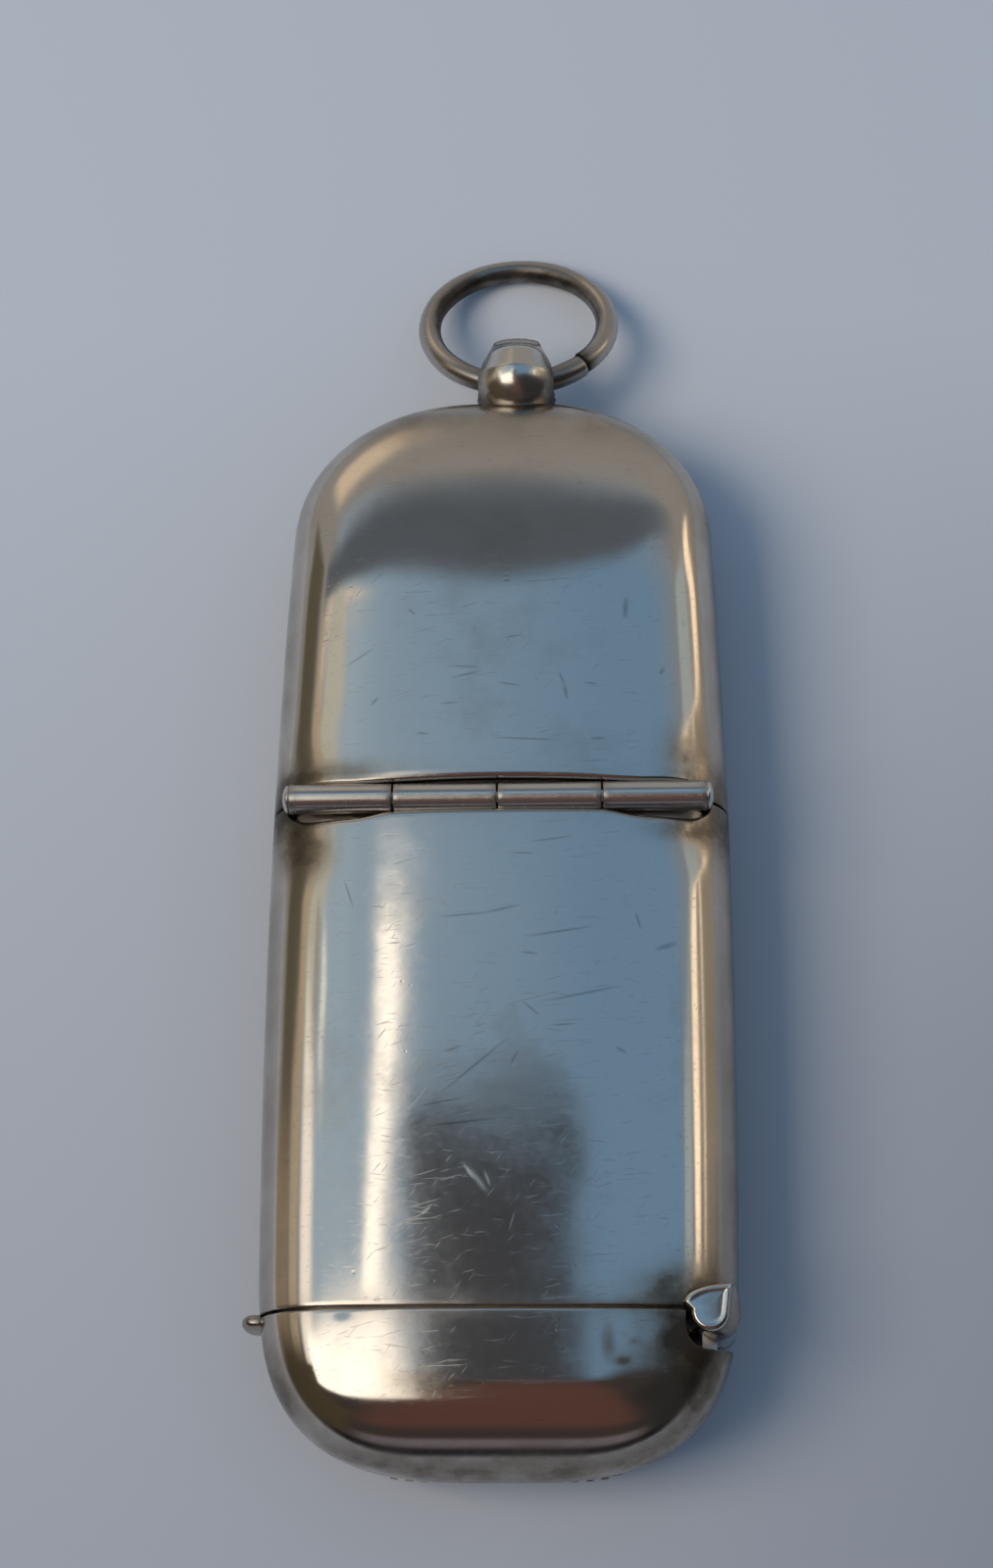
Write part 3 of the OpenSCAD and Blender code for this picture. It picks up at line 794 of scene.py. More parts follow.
PLATE_EDGE = 0.06
PLATE_BROWN = 0.5
plate_low, plate_high = span("partition_plate")
plate_y = np.array([plate_low[1], plate_low[1] + PLATE_EDGE, plate_high[1] - PLATE_EDGE, plate_high[1]])
plate_inset = WALL + COLLAR_GAP + COLLAR_WALL + SOLDER + np.array([PLATE_EDGE, 0, 0, PLATE_EDGE])
plate_grid = case_surface(section_angles(), plate_y[:, None], plate_inset[:, None])
piece("partition_sheet", plate_grid, "lower_case", inner_silver, ["partition_plate"],
      tarnish_and_shade=PLATE_BROWN)


# Turned and drawn pieces

def turned_along_x(profile, y, z, sides=72):
    """Surface of revolution round a line along X: profile rows of (x, radius) carried round a circle."""
    profile = np.asarray(profile, float)
    turn = np.linspace(0, 2 * np.pi, sides, endpoint=False)[None, :]
    x = np.broadcast_to(profile[:, :1], (len(profile), sides))
    radius = profile[:, 1:]
    return np.stack([x, y + radius * np.cos(turn), z + radius * np.sin(turn)], -1)


def quarter(radius, steps=5):
    """Points of a quarter circle from level to upright."""
    t = np.linspace(0, np.pi / 2, steps)
    return radius * np.sin(t), radius * (1 - np.cos(t))


PIN_BORE_R = 0.43
KNUCKLE_EDGE = 0.07
KNUCKLE_ROWS = 24
KNUCKLE_BROWN = 0.05
KNUCKLE_END = (0.45, 0.35)
for number in range(1, 5):
    low, high = span(f"front_knuckle_{number}")
    run, drop = quarter(KNUCKLE_EDGE)
    left_x = low[0] + KNUCKLE_EDGE - run[::-1]
    right_x = high[0] - KNUCKLE_EDGE + run
    body_x = np.linspace(low[0] + KNUCKLE_EDGE, high[0] - KNUCKLE_EDGE, KNUCKLE_ROWS)[1:-1]
    outer = np.concatenate([np.stack([left_x, TUBE_R - drop[::-1]], -1),
                            np.stack([body_x, np.full_like(body_x, TUBE_R)], -1),
                            np.stack([right_x, TUBE_R - drop], -1)])
    bore = np.array([[high[0], PIN_BORE_R], [low[0], PIN_BORE_R]])
    grid = turned_along_x(np.concatenate([outer, bore]), MID_Y, TUBE_Z)
    owner = frame["nodes"][f"front_knuckle_{number}"]["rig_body"]
    from_end = np.minimum(grid[..., 0] - low[0], high[0] - grid[..., 0])
    piece(f"front_knuckle_{number}_tube", grid, owner, hinge_silver,
          [f"front_knuckle_{number}"], loop=True, tarnish_and_shade=KNUCKLE_BROWN + browning(from_end, *KNUCKLE_END))

# Pin with a riveted head at each end: a shank, a neck that steps out to the head's rim, a domed head
HEAD_R = TUBE_R - SOLDER
HEAD_T = pin_high[0] - TUBE_HALF
HEAD_EDGE = 0.05
HEAD_TIP_R = 0.02
PIN_R = 0.4
PIN_ROWS = 12
PIN_BROWN = 0.1
PIN_START = 0.5
PIN_STOP = 0.1
NECK_IN = 0.02
NECK_OUT = 0.01
NECK_ROUND = 0.03
head_turn = np.linspace(0, np.pi / 2, PIN_ROWS)
head_x = TUBE_HALF + HEAD_EDGE + (HEAD_T - HEAD_EDGE) * np.sin(head_turn)
head = np.stack([head_x, HEAD_R * np.cos(head_turn)], -1)
head[-1, 1] = HEAD_TIP_R
neck = np.array([[TUBE_HALF - NECK_IN, PIN_R], [TUBE_HALF, PIN_R],
                 [TUBE_HALF + NECK_OUT, HEAD_R - NECK_ROUND]])
shank = np.linspace([PIN_START, PIN_R], [TUBE_HALF - PIN_STOP, PIN_R], PIN_ROWS)
half = np.concatenate([shank, neck, head])
mirrored = half[::-1] * np.array([-1, 1])
rivet = turned_along_x(np.concatenate([mirrored, half]), MID_Y, TUBE_Z)
piece("front_hinge_pin_rivet", rivet, "lower_case", hinge_silver, ["front_hinge_pin"],
      tarnish_and_shade=PIN_BROWN, sharp=ROUNDED)


# Fixed lid knuckles, from the lid hinge's axis: the leaf's start angle, the chin, arcs in degrees of chin and
# barrel, points of an arc and of an outline, where the flat's right side starts and ends and the barrel's
# corner lies, and the flat's middle, reach and rounded edge
LEAF_START = 0.02
CHIN = (-0.52, -0.13)
CHIN_R = 0.97
CHIN_ARC = (-8, -188)
BARREL_ARC = (10, -200)
ARC_POINTS = 50
LEAF_POINTS = 40
OUTLINE_POINTS = 144
SIDE_START = (LEAF_RIGHT + 0.02, LEAF_FOOT + 0.9 * LEAF_H)
SIDE_END = (0.52, 0.4)
BARREL_CORNER = (1.0, LEAF_FOOT + LEAF_H)
FLAT_MIDDLE = (-0.5, 0.15)
FLAT_REACH = 1.25
FLAT_EDGE = 0.26
FLAT_BROWN = 0.05
BARREL_BROWN = 0.6

# The flat's dish: depth, and how far in from the edge; the barrel's rows, and between which it is drawn in
DISH = ((0.015, 0.06), (0.03, 0.14), (0.04, 0.3), (0.045, 0.55))
BARREL_DEPTHS = (1.5, 0.9, 0.5)
DRAWN_FROM = 1.5
DRAWN_TO = 0.45
FOOT_EDGE = 0.05


def even_outline(line):
    """The closed line through the given points, at evenly spaced places."""
    line = np.concatenate([line, line[:1]])
    walk = np.concatenate([[0], np.cumsum(np.hypot(*np.diff(line, axis=0).T))])
    even = np.linspace(0, walk[-1], OUTLINE_POINTS, endpoint=False)
    return np.stack([np.interp(even, walk, line[:, 0]), np.interp(even, walk, line[:, 1])], -1)


def arc_points(centre, radius, arc):
    """Points of a circle between two angles in degrees."""
    turn = np.radians(np.linspace(*arc, ARC_POINTS))
    return np.stack([centre[0] + radius * np.cos(turn), centre[1] + radius * np.sin(turn)], -1)


def shield_outlines():
    """Outlines of a fixed lid knuckle, seen along its axis: its flat end (the leaf's arc, a right side that
    leans in, a round chin set to the left) and its barrel below (the same arc, then the barrel's circle)."""
    t = np.linspace(LEAF_START, np.pi / 2, LEAF_POINTS)
    leaf = np.stack([LEAF_RIGHT - LEAF_W * np.cos(t) ** (2 / LEAF_N),
                     LEAF_FOOT + LEAF_H * np.sin(t) ** (2 / LEAF_N)], -1)
    flat = np.concatenate([leaf, [SIDE_START, SIDE_END], arc_points(CHIN, CHIN_R, CHIN_ARC)])
    barrel = np.concatenate([leaf, [BARREL_CORNER], arc_points((0, 0), BARREL_R, BARREL_ARC)])
    return even_outline(flat), even_outline(barrel)


def lid_knuckle(name, node_name, foot, end):
    """Fixed lid knuckle: its barrel's outline drawn in towards the outline of its flat end, with a rounded
    edge round the flat, which is dished a little."""
    flat, barrel = shield_outlines()
    way = math.copysign(1, end - foot)
    tall = abs(end - foot)
    run, drop = quarter(FLAT_EDGE, steps=9)
    dish_depth, dish_in = np.array(DISH).T
    depth = np.concatenate([[tall, tall - FOOT_EDGE], BARREL_DEPTHS, FLAT_EDGE - run, dish_depth])
    inward = np.concatenate([[FOOT_EDGE, 0.0], np.zeros(len(BARREL_DEPTHS)), drop, FLAT_EDGE + dish_in])
    drawn_in = smooth(-depth, -DRAWN_FROM, -DRAWN_TO)[:, None, None]
    outline = barrel + (flat - barrel) * drawn_in
    share = 1 - inward[:, None, None] / FLAT_REACH
    line = np.array(FLAT_MIDDLE) + (outline - np.array(FLAT_MIDDLE)) * share
    z = np.broadcast_to((end - way * depth)[:, None], line.shape[:2])
    grid = np.stack([BARREL_X + line[..., 0], BARREL_Y + line[..., 1], z], -1)
    stain_and_shade = np.where(depth[:, None] > FLAT_EDGE, BARREL_BROWN, FLAT_BROWN)
    return piece(name, grid, "lower_case", shield_silver, [node_name], tarnish_and_shade=stain_and_shade,
                 sharp=ROUNDED)


lid_knuckle("lid_knuckle_front_shield", "lid_knuckle_front", BARREL_JOIN, BARREL_TOP)
lid_knuckle("lid_knuckle_back_shield", "lid_knuckle_back", CASE_T - BARREL_JOIN, CASE_T - BARREL_TOP)


# Pendant ball and bow ring

# Cross hole: the wire's clearance, half its swing, the least square of its room, where its mouth is sought
HOLE_GAP = 0.09
SWING_HALF = math.radians(132)
LEAST_SQUARE = 0.2
MOUTH_GUESS = 2.2
MOUTH_ROUNDS = 20

# Ball: points round it, along it and along its hole, seat in the dome, powers that blend its top and foot,
# the nub left on its top (place, height, reach) and how its top is filed thinner
BALL_COLUMNS = 200
BALL_ROWS = 160
HOLE_ROWS = 26
BALL_SEAT = 0.7
TOP_POWER = 240
FOOT_POWER = 60
NUB = (-0.1, 0.2)
NUB_H = 0.22
NUB_REACH = 0.25
FILED_FROM = 1.4
FILED_SHARE = 0.5

# Browning of the ball: all over, at the hole's mouths (tarnish, and painted shade on the ball's sides) and
# how far from them, at the top's rim
BALL_BROWN = 0.06
MOUTH_BROWN_AND_SHADE = 0.8
MOUTH_REACH = 0.6
BALL_RIM = (0.5, 0.2)


def wire_room(x, b):
    """Room the swinging wire needs in the ball, from the hole's axis towards angle b, at the place x along
    it: its own radius, and where the ring bends away the bend's rise, less outside its swing."""
    rise = RING_R - np.sqrt(RING_R ** 2 - x ** 2)
    past = np.maximum(np.abs(np.angle(np.exp(1j * b))) - SWING_HALF, 0)
    across = np.maximum((WIRE_R + HOLE_GAP) ** 2 - (rise * np.sin(past)) ** 2, LEAST_SQUARE)
    return rise * np.cos(past) + np.sqrt(across)


def pendant_ball():
    """Pierced ball: directions from its centre run from one mouth of the cross hole to the other. Its
    inverse radius is below the middle the greater of a sphere's and a flat foot's, and above it the greater
    of a cone's and a flat top's, blended by high powers. The top is filed thinner, with a nub left on it,
    and the hole gives the wire room."""
    b = np.linspace(0, 2 * np.pi, BALL_COLUMNS, endpoint=False)[None, :]
    mouth_x = np.full_like(b, MOUTH_GUESS)
    for _ in range(MOUTH_ROUNDS):
        mouth_x = np.sqrt(BALL_R ** 2 - wire_room(mouth_x, b) ** 2)
    a0 = np.arccos(mouth_x / BALL_R)
    a = a0 + (np.pi - 2 * a0) * np.linspace(0, 1, BALL_ROWS)[:, None]
    dx = np.cos(a)
    dy = np.sin(a) * np.cos(b)
    dz = np.sin(a) * np.sin(b)
    level = np.hypot(dx, dz)
    slope = (BALL_R - BALL_TOP_R) / BALL_TOP
    cone = np.maximum(level + slope * dy, 0) * BALL_TOP / BALL_R
    flat = np.maximum(dy, 0)
    foot = np.maximum(-dy, 0) * BALL_R / (BALL_Y - TOP_Y + BALL_SEAT)
    shoulders = BALL_TOP / np.maximum(cone ** TOP_POWER + flat ** TOP_POWER, 1e-99) ** (1 / TOP_POWER)
    round_part = BALL_R / (1 + foot ** FOOT_POWER) ** (1 / FOOT_POWER)
    radius = np.where(dy > 0, shoulders, round_part)
    skin = np.stack([radius * dx, radius * dy, radius * dz], -1)
    from_nub = np.hypot(skin[..., 0] - NUB[0], skin[..., 2] - NUB[1])
    skin[..., 1] += NUB_H * bump_at(from_nub, NUB_REACH) * (dy > 0)
    rim = browning(np.hypot(skin[..., 0], skin[..., 2]) - BALL_TOP_R, *BALL_RIM) * (dy > 0)
    skin[..., 2] *= 1 - FILED_SHARE * smooth(skin[..., 1], FILED_FROM, BALL_TOP)
    x = skin[:1, :, 0] * np.linspace(1, -1, HOLE_ROWS)[1:-1, None]
    bell = wire_room(x, b)
    hole = np.stack([-x, bell * np.cos(b), bell * np.sin(b)], -1)
    grid = np.concatenate([skin, hole]) + np.array([PENDANT_X, BALL_Y, MID_Z])
    half_turn = np.pi / 2 - a0
    clear = smooth(-np.abs(a - np.pi / 2), -half_turn, -half_turn + MOUTH_REACH)
    # Tarnish at the hole's mouths, with painted shade darkening the ball's sides round them
    stain_and_shade = np.concatenate([BALL_BROWN + MOUTH_BROWN_AND_SHADE * (1 - clear) + rim, np.full(hole.shape[:2], 1.0)])
    return piece("pendant_ball_bead", grid, "upper_case", bead_silver, ["pendant_ball"],
                 loop=True, tarnish_and_shade=stain_and_shade)


# Ring: points along and round its wire, its butt joint (place, gap, worn end, how far off line, reach),
# shares of the worn end and of the wire there, and the wire's unevenness (height, waves round it, start)
RING_ROWS = 220
WIRE_COLUMNS = 40
JOINT = math.radians(46)
JOINT_GAP = 0.05
JOINT_END = 0.1
JOINT_OFF = 0.14
JOINT_REACH = 0.35
END_STEPS = (0, 0.3, 1.0)
END_SHARES = (0.86, 0.95, 1.0)
WIRE_UNEVEN = ((0.012, 5, 1), (0.01, 9, 0))

# Browning of the ring: all over, near the ball, at the joint; painted shade along its inside, and where that
# fades in
RING_BROWN = 0.18
RING_NEAR_BALL = (0.5, 0.55)
RING_JOINT = (0.35, 0.12)
RING_INSIDE_SHADE = 0.55
INSIDE_FADE = (0.1, 0.7)


def bow_ring():
    """Ring bent from wire, with a butt joint: a circle of sections round the drooping ring, left open by
    a hair where the two ends meet, one end a little off line."""
    gap = JOINT_GAP / RING_R
    end = JOINT_END / RING_R
    whole = 2 * np.pi - gap
    first = end * np.array(END_STEPS)
    between = np.linspace(end, whole - end, RING_ROWS)[1:-1]
    turn = np.concatenate([first, between, whole - first[::-1]])[:, None]
    thin = np.ones_like(turn)
    thin[:3, 0] = END_SHARES
    thin[-3:, 0] = END_SHARES[::-1]
    drawn = np.ones_like(turn)
    for height, waves, start in WIRE_UNEVEN:
        drawn = drawn - height * (1 + np.sin(waves * turn + start))
    wire = WIRE_R * thin * drawn
    at = JOINT + turn
    off_line = JOINT_OFF * np.exp(-turn / JOINT_REACH)
    s = np.linspace(0, 2 * np.pi, WIRE_COLUMNS, endpoint=False)[None, :]
    radius = RING_R + wire * np.cos(s)
    x = PENDANT_X + radius * np.sin(at)
    y = RING_R - radius * np.cos(at)
    z = wire * np.sin(s) + off_line
    up = MID_Z - y * math.sin(DROOP) + z * math.cos(DROOP)
    along = BALL_Y + y * math.cos(DROOP) + z * math.sin(DROOP)
    from_ball = np.minimum(at % (2 * np.pi), -at % (2 * np.pi))
    # Painted shade: the inside of the wire is darkened
    inside = RING_INSIDE_SHADE * smooth(-np.cos(s), *INSIDE_FADE)
    stain_and_shade = RING_BROWN + browning(from_ball, *RING_NEAR_BALL) + browning(turn, *RING_JOINT) + inside
    grid = np.stack([x, along, up], -1)
    return piece("bow_ring_wire", grid, "bow", ring_silver, ["bow_ring"], tarnish_and_shade=stain_and_shade)


pendant_ball()
bow_ring()


# Thumb tab

# How the bead differs from its construction node: root, rise, length, seat in the lid; its powers, its
# browning, and its points from end to end and round
TAB_ROOT = 0.05
TAB_RISE = 0.3
TAB_LONG = 1.15
TAB_SEAT = 0.25
TAB_POWER = 0.7
TAB_ROUND = 0.8
TAB_BROWN = 0.7
TAB_ROWS = 40
TAB_COLUMNS = 64


def thumb_tab():
    """Nail tab on the free side of the lid: a rounded bead, a superellipsoid of three radii."""
    low, high = span("thumb_tab")
    centre = (low + high) / 2
    size = (high - low) / 2
    centre[0] = high[0] - TAB_ROOT
    centre[1] += TAB_RISE
    size[0] = centre[0] - low[0]
    size[1] *= TAB_LONG
    lat = np.linspace(-np.pi / 2, np.pi / 2, TAB_ROWS)[1:-1, None]
    lon = np.linspace(0, 2 * np.pi, TAB_COLUMNS, endpoint=False)[None, :]
    level = signed_power(np.cos(lat), TAB_POWER)
    x = centre[0] + size[0] * level * signed_power(np.cos(lon), TAB_ROUND)
    y = centre[1] + size[1] * level * signed_power(np.sin(lon), TAB_ROUND)
    z = centre[2] + size[2] * signed_power(np.sin(lat), TAB_POWER) + 0 * lon
    grid = np.stack([np.minimum(x, high[0] + TAB_SEAT), y, z], -1)
    return piece("thumb_tab_bead", grid, "end_lid", case_silver, ["thumb_tab"],
                 tarnish_and_shade=TAB_BROWN)


thumb_tab()


# Construction pieces that stay as they are, in their finish

KEPT = {"lid_knuckle_mid": hinge_silver, "lid_hinge_pin": pin_steel, "lid_spring": hinge_silver,
        "striker_plate": striker_silver}
for node_name, finish in KEPT.items():
    kept = frame["nodes"][node_name]
    kept.data.materials.clear()
    kept.data.materials.append(finish)


# Studio: floor, softbox, cards, sky, camera

# Painted shade on the table: places in millimetres from pale to dark, and how much; painted shade to the
# front and a painted shadow to the right of the case
TABLE_FRONT = (40.0, -38.0)
TABLE_NEAR = (40.0, -8.0)
TABLE_RIGHT = (0.0, 28.0)
TABLE_CLOSE = (130.0, 55.0)
FRONT_SHADE = 0.52
RIGHT_SHADOW = 0.34


def matte_with_painted_shade(name, pale, dark):
    """A plain matt table: pale, and near the case darkened by painted shade to the front and by a painted
    shadow, most at the front right.
    """
    material, tree, shader, where = clear_material(name)
    part = node(tree, "ShaderNodeSeparateXYZ", {0: where}).outputs
    front = remap(tree, part[1], *TABLE_FRONT)
    near = remap(tree, part[1], *TABLE_NEAR)
    right_side = remap(tree, part[0], *TABLE_RIGHT)
    # Share of painted shadow to the right of the case and of painted shade to the front
    share = maths(tree, "MULTIPLY", maths(tree, "MULTIPLY", near, right_side), RIGHT_SHADOW)
    share = maths(tree, "MULTIPLY_ADD", front, FRONT_SHADE, share)
    away = node(tree, "ShaderNodeVectorMath", {0: where}, operation="LENGTH").outputs["Value"]
    close = remap(tree, away, *TABLE_CLOSE, interpolation_type="SMOOTHSTEP")
    share = maths(tree, "MULTIPLY", share, close, clamp=True)
    tree.links.new(blend_colours(tree, share, pale + (1,), dark + (1,)), shader.inputs["Base Color"])
    shader.inputs["Roughness"].default_value = 0.6
    shader.inputs["Specular IOR Level"].default_value = 0.2
    return material


FLOOR_HALF = 2.0
FLOOR_GAP = 0.02 * MM
floor_mesh = bpy.data.meshes.new("floor")
corners = [(x * FLOOR_HALF, y * FLOOR_HALF, 0) for x, y in ((-1, -1), (1, -1), (1, 1), (-1, 1))]
floor_mesh.from_pydata(corners, [], [(0, 1, 2, 3)])
# The table's dark colour is painted shade and painted shadow
floor_mesh.materials.append(matte_with_painted_shade("pale_table_painted_shade", (0.41, 0.432, 0.476), (0.19, 0.203, 0.24)))
floor = linked("floor", floor_mesh)
floor.location.z = -FLOOR_GAP

# Where the camera, the softbox and the cards are aimed
TARGET = Vector((-0.27, 7.35, 4.75)) * MM


def aim(obj, direction, distance):
    """Sets an object on a line from the target, facing it, its width along the frame's X."""
    away = Vector(direction).normalized()
    across = (Vector((1, 0, 0)) - away.x * away).normalized()
    basis = Matrix((across, away.cross(across), away)).transposed().to_4x4()
    obj.matrix_world = Matrix.Translation(TARGET + distance * away) @ basis


def softbox(name, direction, distance, size, power, colour):
    """A rectangular area lamp that faces the target; polished metal sees a card in its place."""
    lamp = bpy.data.lights.new(name, "AREA")
    lamp.shape = "RECTANGLE"
    lamp.size, lamp.size_y = size
    lamp.energy = power
    lamp.color = colour
    obj = linked(name, lamp)
    aim(obj, direction, distance)
    obj.visible_glossy = False
    return obj


def sky_way(azimuth, elevation):
    """Unit directions from an azimuth, counted from +Y towards +X, and an elevation, in degrees."""
    a, e = np.broadcast_arrays(np.radians(azimuth), np.radians(elevation))
    return np.stack([np.sin(a) * np.cos(e), np.cos(a) * np.cos(e), np.sin(e)], -1)


def ceiling_way(x, y):
    """Unit directions to places x to the right and y to the back on a ceiling one unit up."""
    x, y = np.broadcast_arrays(x, y)
    way = np.stack([x, y, np.ones_like(x)], -1)
    return way / np.linalg.norm(way, axis=-1, keepdims=True)


def ceiling_turned(y, x):
    """The same directions, for cards that run along y."""
    return ceiling_way(x, y)


# Points along and across a card
CARD_ROWS = 121
CARD_COLUMNS = 21


def card(name, rows, colour, way=sky_way, soft=(0.1, 0.2), distance=1.0):
    """A curved studio card that only polished metal sees. Each row holds a place along the card and its low
    and high edge there, which way turns into directions. Its cover fades out over a share of its length and
    of its width, the same at both borders or, with four shares, at its first, last, low and high border."""
    first, last, lower, upper = soft if len(soft) == 4 else (soft[0], soft[0], soft[1], soft[1])
    rows = np.array(rows, float)
    s = np.linspace(0, 1, CARD_ROWS)[:, None]
    t = np.linspace(0, 1, CARD_COLUMNS)[None, :]
    along = rows[0, 0] + (rows[-1, 0] - rows[0, 0]) * s
    low = np.interp(along, rows[:, 0], rows[:, 1])
    high = np.interp(along, rows[:, 0], rows[:, 2])
    points = np.array(TARGET) + distance * way(along, low + (high - low) * t)
    cover = smooth(s, 0, first) * smooth(1 - s, 0, last) * smooth(t, 0, lower) * smooth(1 - t, 0, upper)
    here = CARD_COLUMNS * np.arange(CARD_ROWS - 1)[:, None] + np.arange(CARD_COLUMNS - 1)[None, :]
    there = here + CARD_COLUMNS
    quads = np.stack([here, here + 1, there + 1, there], -1).reshape(-1, 4)
    material = bpy.data.materials.new(name)
    material.use_nodes = True
    tree = material.node_tree
    tree.nodes.clear()
    fade = node(tree, "ShaderNodeAttribute", attribute_name="cover").outputs["Fac"]
    clear = node(tree, "ShaderNodeBsdfTransparent").outputs[0]
    glow = node(tree, "ShaderNodeEmission", {"Color": colour + (1,), "Strength": 1.0}).outputs[0]
    both = node(tree, "ShaderNodeMixShader", {0: fade, 1: clear, 2: glow}).outputs[0]
    node(tree, "ShaderNodeOutputMaterial", {0: both})
    mesh = bpy.data.meshes.new(name)
    mesh.from_pydata(points.reshape(-1, 3).tolist(), [], quads.tolist())
    point_value(mesh, "cover", cover)
    mesh.materials.append(material)
    obj = linked(name, mesh)
    obj.visible_camera = False
    obj.visible_diffuse = False
    obj.visible_shadow = False
    return obj


softbox("key_softbox", direction=(-0.8, -0.18, 1.0), distance=0.6, size=(0.32, 0.32), power=3.1,
        colour=(1.0, 0.85, 0.66))

# Cards over the flat front: the lamp's own face, a bright strip, a dark flag and a dark lens at the back
card("key_card", [(-0.88, -0.36, 0.07), (-0.7, -0.43, 0.10), (-0.46, -0.46, 0.135), (-0.25, -0.45, 0.15),
                  (-0.125, -0.43, 0.16)], (2.0, 1.86, 1.66), ceiling_way, (0.06, 0.09), 0.9)
card("strip_card", [(0.12, -0.235, -0.165), (0.19, -0.215, -0.155), (0.24, -0.195, -0.133),
                    (0.27, -0.195, -0.135), (0.33, -0.20, -0.14)], (2.0, 1.88, 1.68), ceiling_turned,
     (0.07, 0.3))
card("overhead_flag", [(-0.12, -0.127, 0.05), (0.10, -0.132, 0.045), (0.17, -0.137, 0.03),
                       (0.229, -0.137, 0.025)], (0.056, 0.060, 0.069), ceiling_turned, (0.05, 0.06))
card("lens_flag", [(-1.15, 0.68, 0.92), (-0.64, 0.58, 0.90), (-0.34, 0.54, 1.10), (-0.2, 0.53, 1.36),
                   (-0.13, 0.51, 1.46), (-0.07, 0.44, 1.48), (0.0, 0.48, 1.40), (0.04, 0.52, 1.32),
                   (0.12, 0.57, 1.22), (0.4, 0.73, 1.18), (0.76, 0.86, 1.22), (1.4, 1.1, 1.32)],
     (0.11, 0.13, 0.158), ceiling_way, (0.08, 0.5, 0.12, 0.6))
card("lens_rim", [(-1.15, 0.62, 0.69), (-0.62, 0.53, 0.585), (-0.34, 0.485, 0.53), (-0.2, 0.47, 0.50)],
     (0.90, 0.76, 0.60), ceiling_way, (0.2, 0.3))

# Cards low round the sides: pale and dark bands that the rolled edges draw out into lines
card("back_cream", [(-40, 14, 40), (-24, 12, 38), (-14, 10, 34), (-4, 6, 24)], (0.80, 0.66, 0.50),
     soft=(0.25, 0.35))
card("left_brown", [(-98, -1, 28), (-79, -1, 28), (-76, 8, 30)], (0.33, 0.26, 0.18), soft=(0.12, 0.2),
     distance=1.02)
card("left_dark", [(-80, 3, 22), (-76, 4, 30), (-72, 5, 37), (-63, 6, 35), (-52, 14, 36)],
     (0.13, 0.115, 0.08))
card("left_tan", [(-98, 24, 42), (-76, 27, 42), (-66, 32, 46), (-56, 35, 48)], (0.54, 0.45, 0.32),
     soft=(0.1, 0.25), distance=1.01)
card("left_cream", [(-72, 41, 52), (-60, 43, 56), (-50, 46, 58), (-42, 50, 60)], (0.60, 0.60, 0.52))
card("left_white", [(-95, 41, 58), (-75, 41, 58), (-67, 42, 56)], (1.25, 1.16, 1.04), soft=(0.1, 0.35),
     distance=0.98)
card("left_line", [(-68, 50, 55), (-60, 50, 55)], (0.40, 0.39, 0.33), distance=0.97)
card("left_pale", [(-67, 56, 60), (-58, 56, 60)], (1.0, 1.0, 0.94), distance=0.97)
card("right_pale", [(52, 24, 42), (65, 22, 44), (67.5, 46, 55), (85, 47, 57)], (0.45, 0.52, 0.54))
card("right_brown", [(50, -1, 9), (65.5, -1, 9), (67.5, 4, 34), (85, 4, 36)], (0.36, 0.31, 0.24),
     distance=1.05)
card("right_warm", [(52, 12, 23), (57, 12, 24), (62, 6, 19), (65, 5, 18), (66.3, 15, 31), (67.5, 32, 45),
                    (70, 35, 46), (76, 35, 45), (83, 36, 44)], (1.75, 1.42, 1.05), soft=(0.06, 0.25))
card("right_cream", [(67, 25, 31), (70, 25, 31), (83, 26, 32)], (0.95, 0.80, 0.60), soft=(0.06, 0.25))

# Cards in front, seen by the lid's rolled end
card("front_back", [(75, -1, 86), (285, -1, 86)], (0.05, 0.04, 0.036), soft=(0.08, 0.05), distance=1.1)
card("front_red", [(146, 32, 88), (214, 32, 88)], (0.115, 0.056, 0.046), soft=(0.28, 0.2))
card("front_dark", [(76, -1, 72), (168, -1, 72)], (0.03, 0.03, 0.028), soft=(0.3, 0.1), distance=0.98)
card("front_olive", [(203, 2, 50), (275, 2, 50)], (0.075, 0.058, 0.034), soft=(0.15, 0.12), distance=0.99)
card("front_band", [(150, 9, 26), (210, 9, 26)], (0.19, 0.17, 0.19), soft=(0.3, 0.3), distance=0.97)
card("front_low", [(135, -1.6, 9), (225, -1.6, 9)], (0.012, 0.010, 0.012), soft=(0.25, 0.1), distance=0.15)

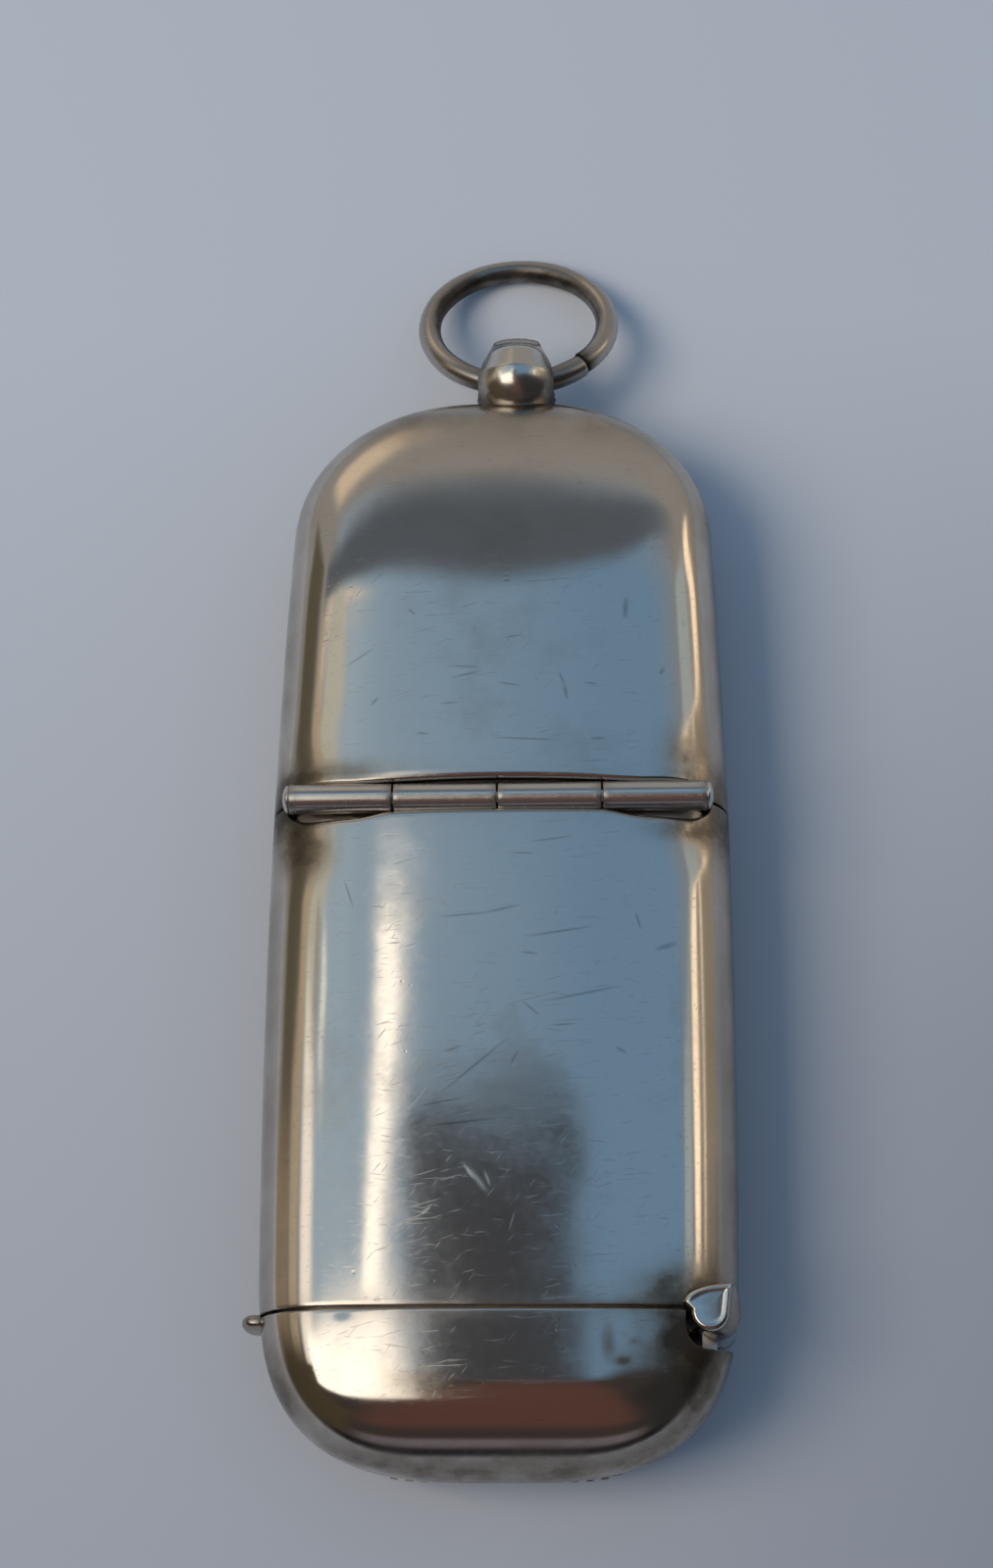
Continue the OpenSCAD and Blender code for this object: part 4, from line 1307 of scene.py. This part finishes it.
# Sky: one plain blue that lights the scene; for polished metal a ramp by height, paler high on the left
PALE_LEFT = (0.04, -0.30)
PALE_HIGH = (0.62, 0.82)
world = bpy.data.worlds.new("sky")
bpy.context.scene.world = world
world.use_nodes = True
sky = world.node_tree
sky.nodes.clear()
direction = node(sky, "ShaderNodeTexCoord").outputs["Generated"]
along = node(sky, "ShaderNodeSeparateXYZ", {0: direction}).outputs
ramp = node(sky, "ShaderNodeValToRGB", {0: along[2]})
stops = ramp.color_ramp.elements
stops[0].position = 0.0
stops[0].color = (0.35, 0.34, 0.325, 1)
stops[1].position = 0.88
stops[1].color = (0.185, 0.325, 0.50, 1)
middle_stop = stops.new(0.6)
middle_stop.color = (0.325, 0.315, 0.30, 1)
pale_left = maths(sky, "MULTIPLY", remap(sky, along[0], *PALE_LEFT), remap(sky, along[2], *PALE_HIGH))
seen = blend_colours(sky, pale_left, ramp.outputs[0], (0.41, 0.54, 0.66, 1))
mirrored_sky = node(sky, "ShaderNodeBackground", {"Color": seen, "Strength": 1.0}).outputs[0]
light = node(sky, "ShaderNodeBackground", {"Color": (0.325, 0.455, 0.62, 1), "Strength": 1.0}).outputs[0]
plain = node(sky, "ShaderNodeBackground", {"Color": (0.60, 0.62, 0.67, 1), "Strength": 1.0}).outputs[0]
path = node(sky, "ShaderNodeLightPath").outputs
lit = node(sky, "ShaderNodeMixShader", {0: path["Is Glossy Ray"], 1: light, 2: mirrored_sky}).outputs[0]
either = node(sky, "ShaderNodeMixShader", {0: path["Is Camera Ray"], 1: lit, 2: plain}).outputs[0]
node(sky, "ShaderNodeOutputWorld", {0: either})

# Camera: fitted to the outline in the photograph, whose long side is 1600 pixels
IMAGE_H = 1600
FOCAL_PX = 2800
SENSOR = 36.0
ELEVATION = math.radians(69.73)
AZIMUTH = math.radians(7.89)
ROLL = math.radians(-8.06)
DISTANCE = 156.72 * MM
camera_data = bpy.data.cameras.new("camera")
camera_data.sensor_fit = "VERTICAL"
camera_data.sensor_height = SENSOR
camera_data.lens = FOCAL_PX / IMAGE_H * SENSOR
camera_data.clip_start = 0.01
camera = linked("camera", camera_data)
back = Vector((math.sin(AZIMUTH) * math.cos(ELEVATION), -math.cos(AZIMUTH) * math.cos(ELEVATION),
               math.sin(ELEVATION)))
right = Vector((math.cos(AZIMUTH), math.sin(AZIMUTH), 0))
up = back.cross(right)
turned_right = math.cos(ROLL) * right + math.sin(ROLL) * up
turned_up = math.cos(ROLL) * up - math.sin(ROLL) * right
place = TARGET + DISTANCE * back
camera.matrix_world = Matrix((turned_right, turned_up, back)).transposed().to_4x4()
camera.location = place
bpy.context.scene.camera = camera

bpy.context.scene.view_settings.view_transform = "Standard"
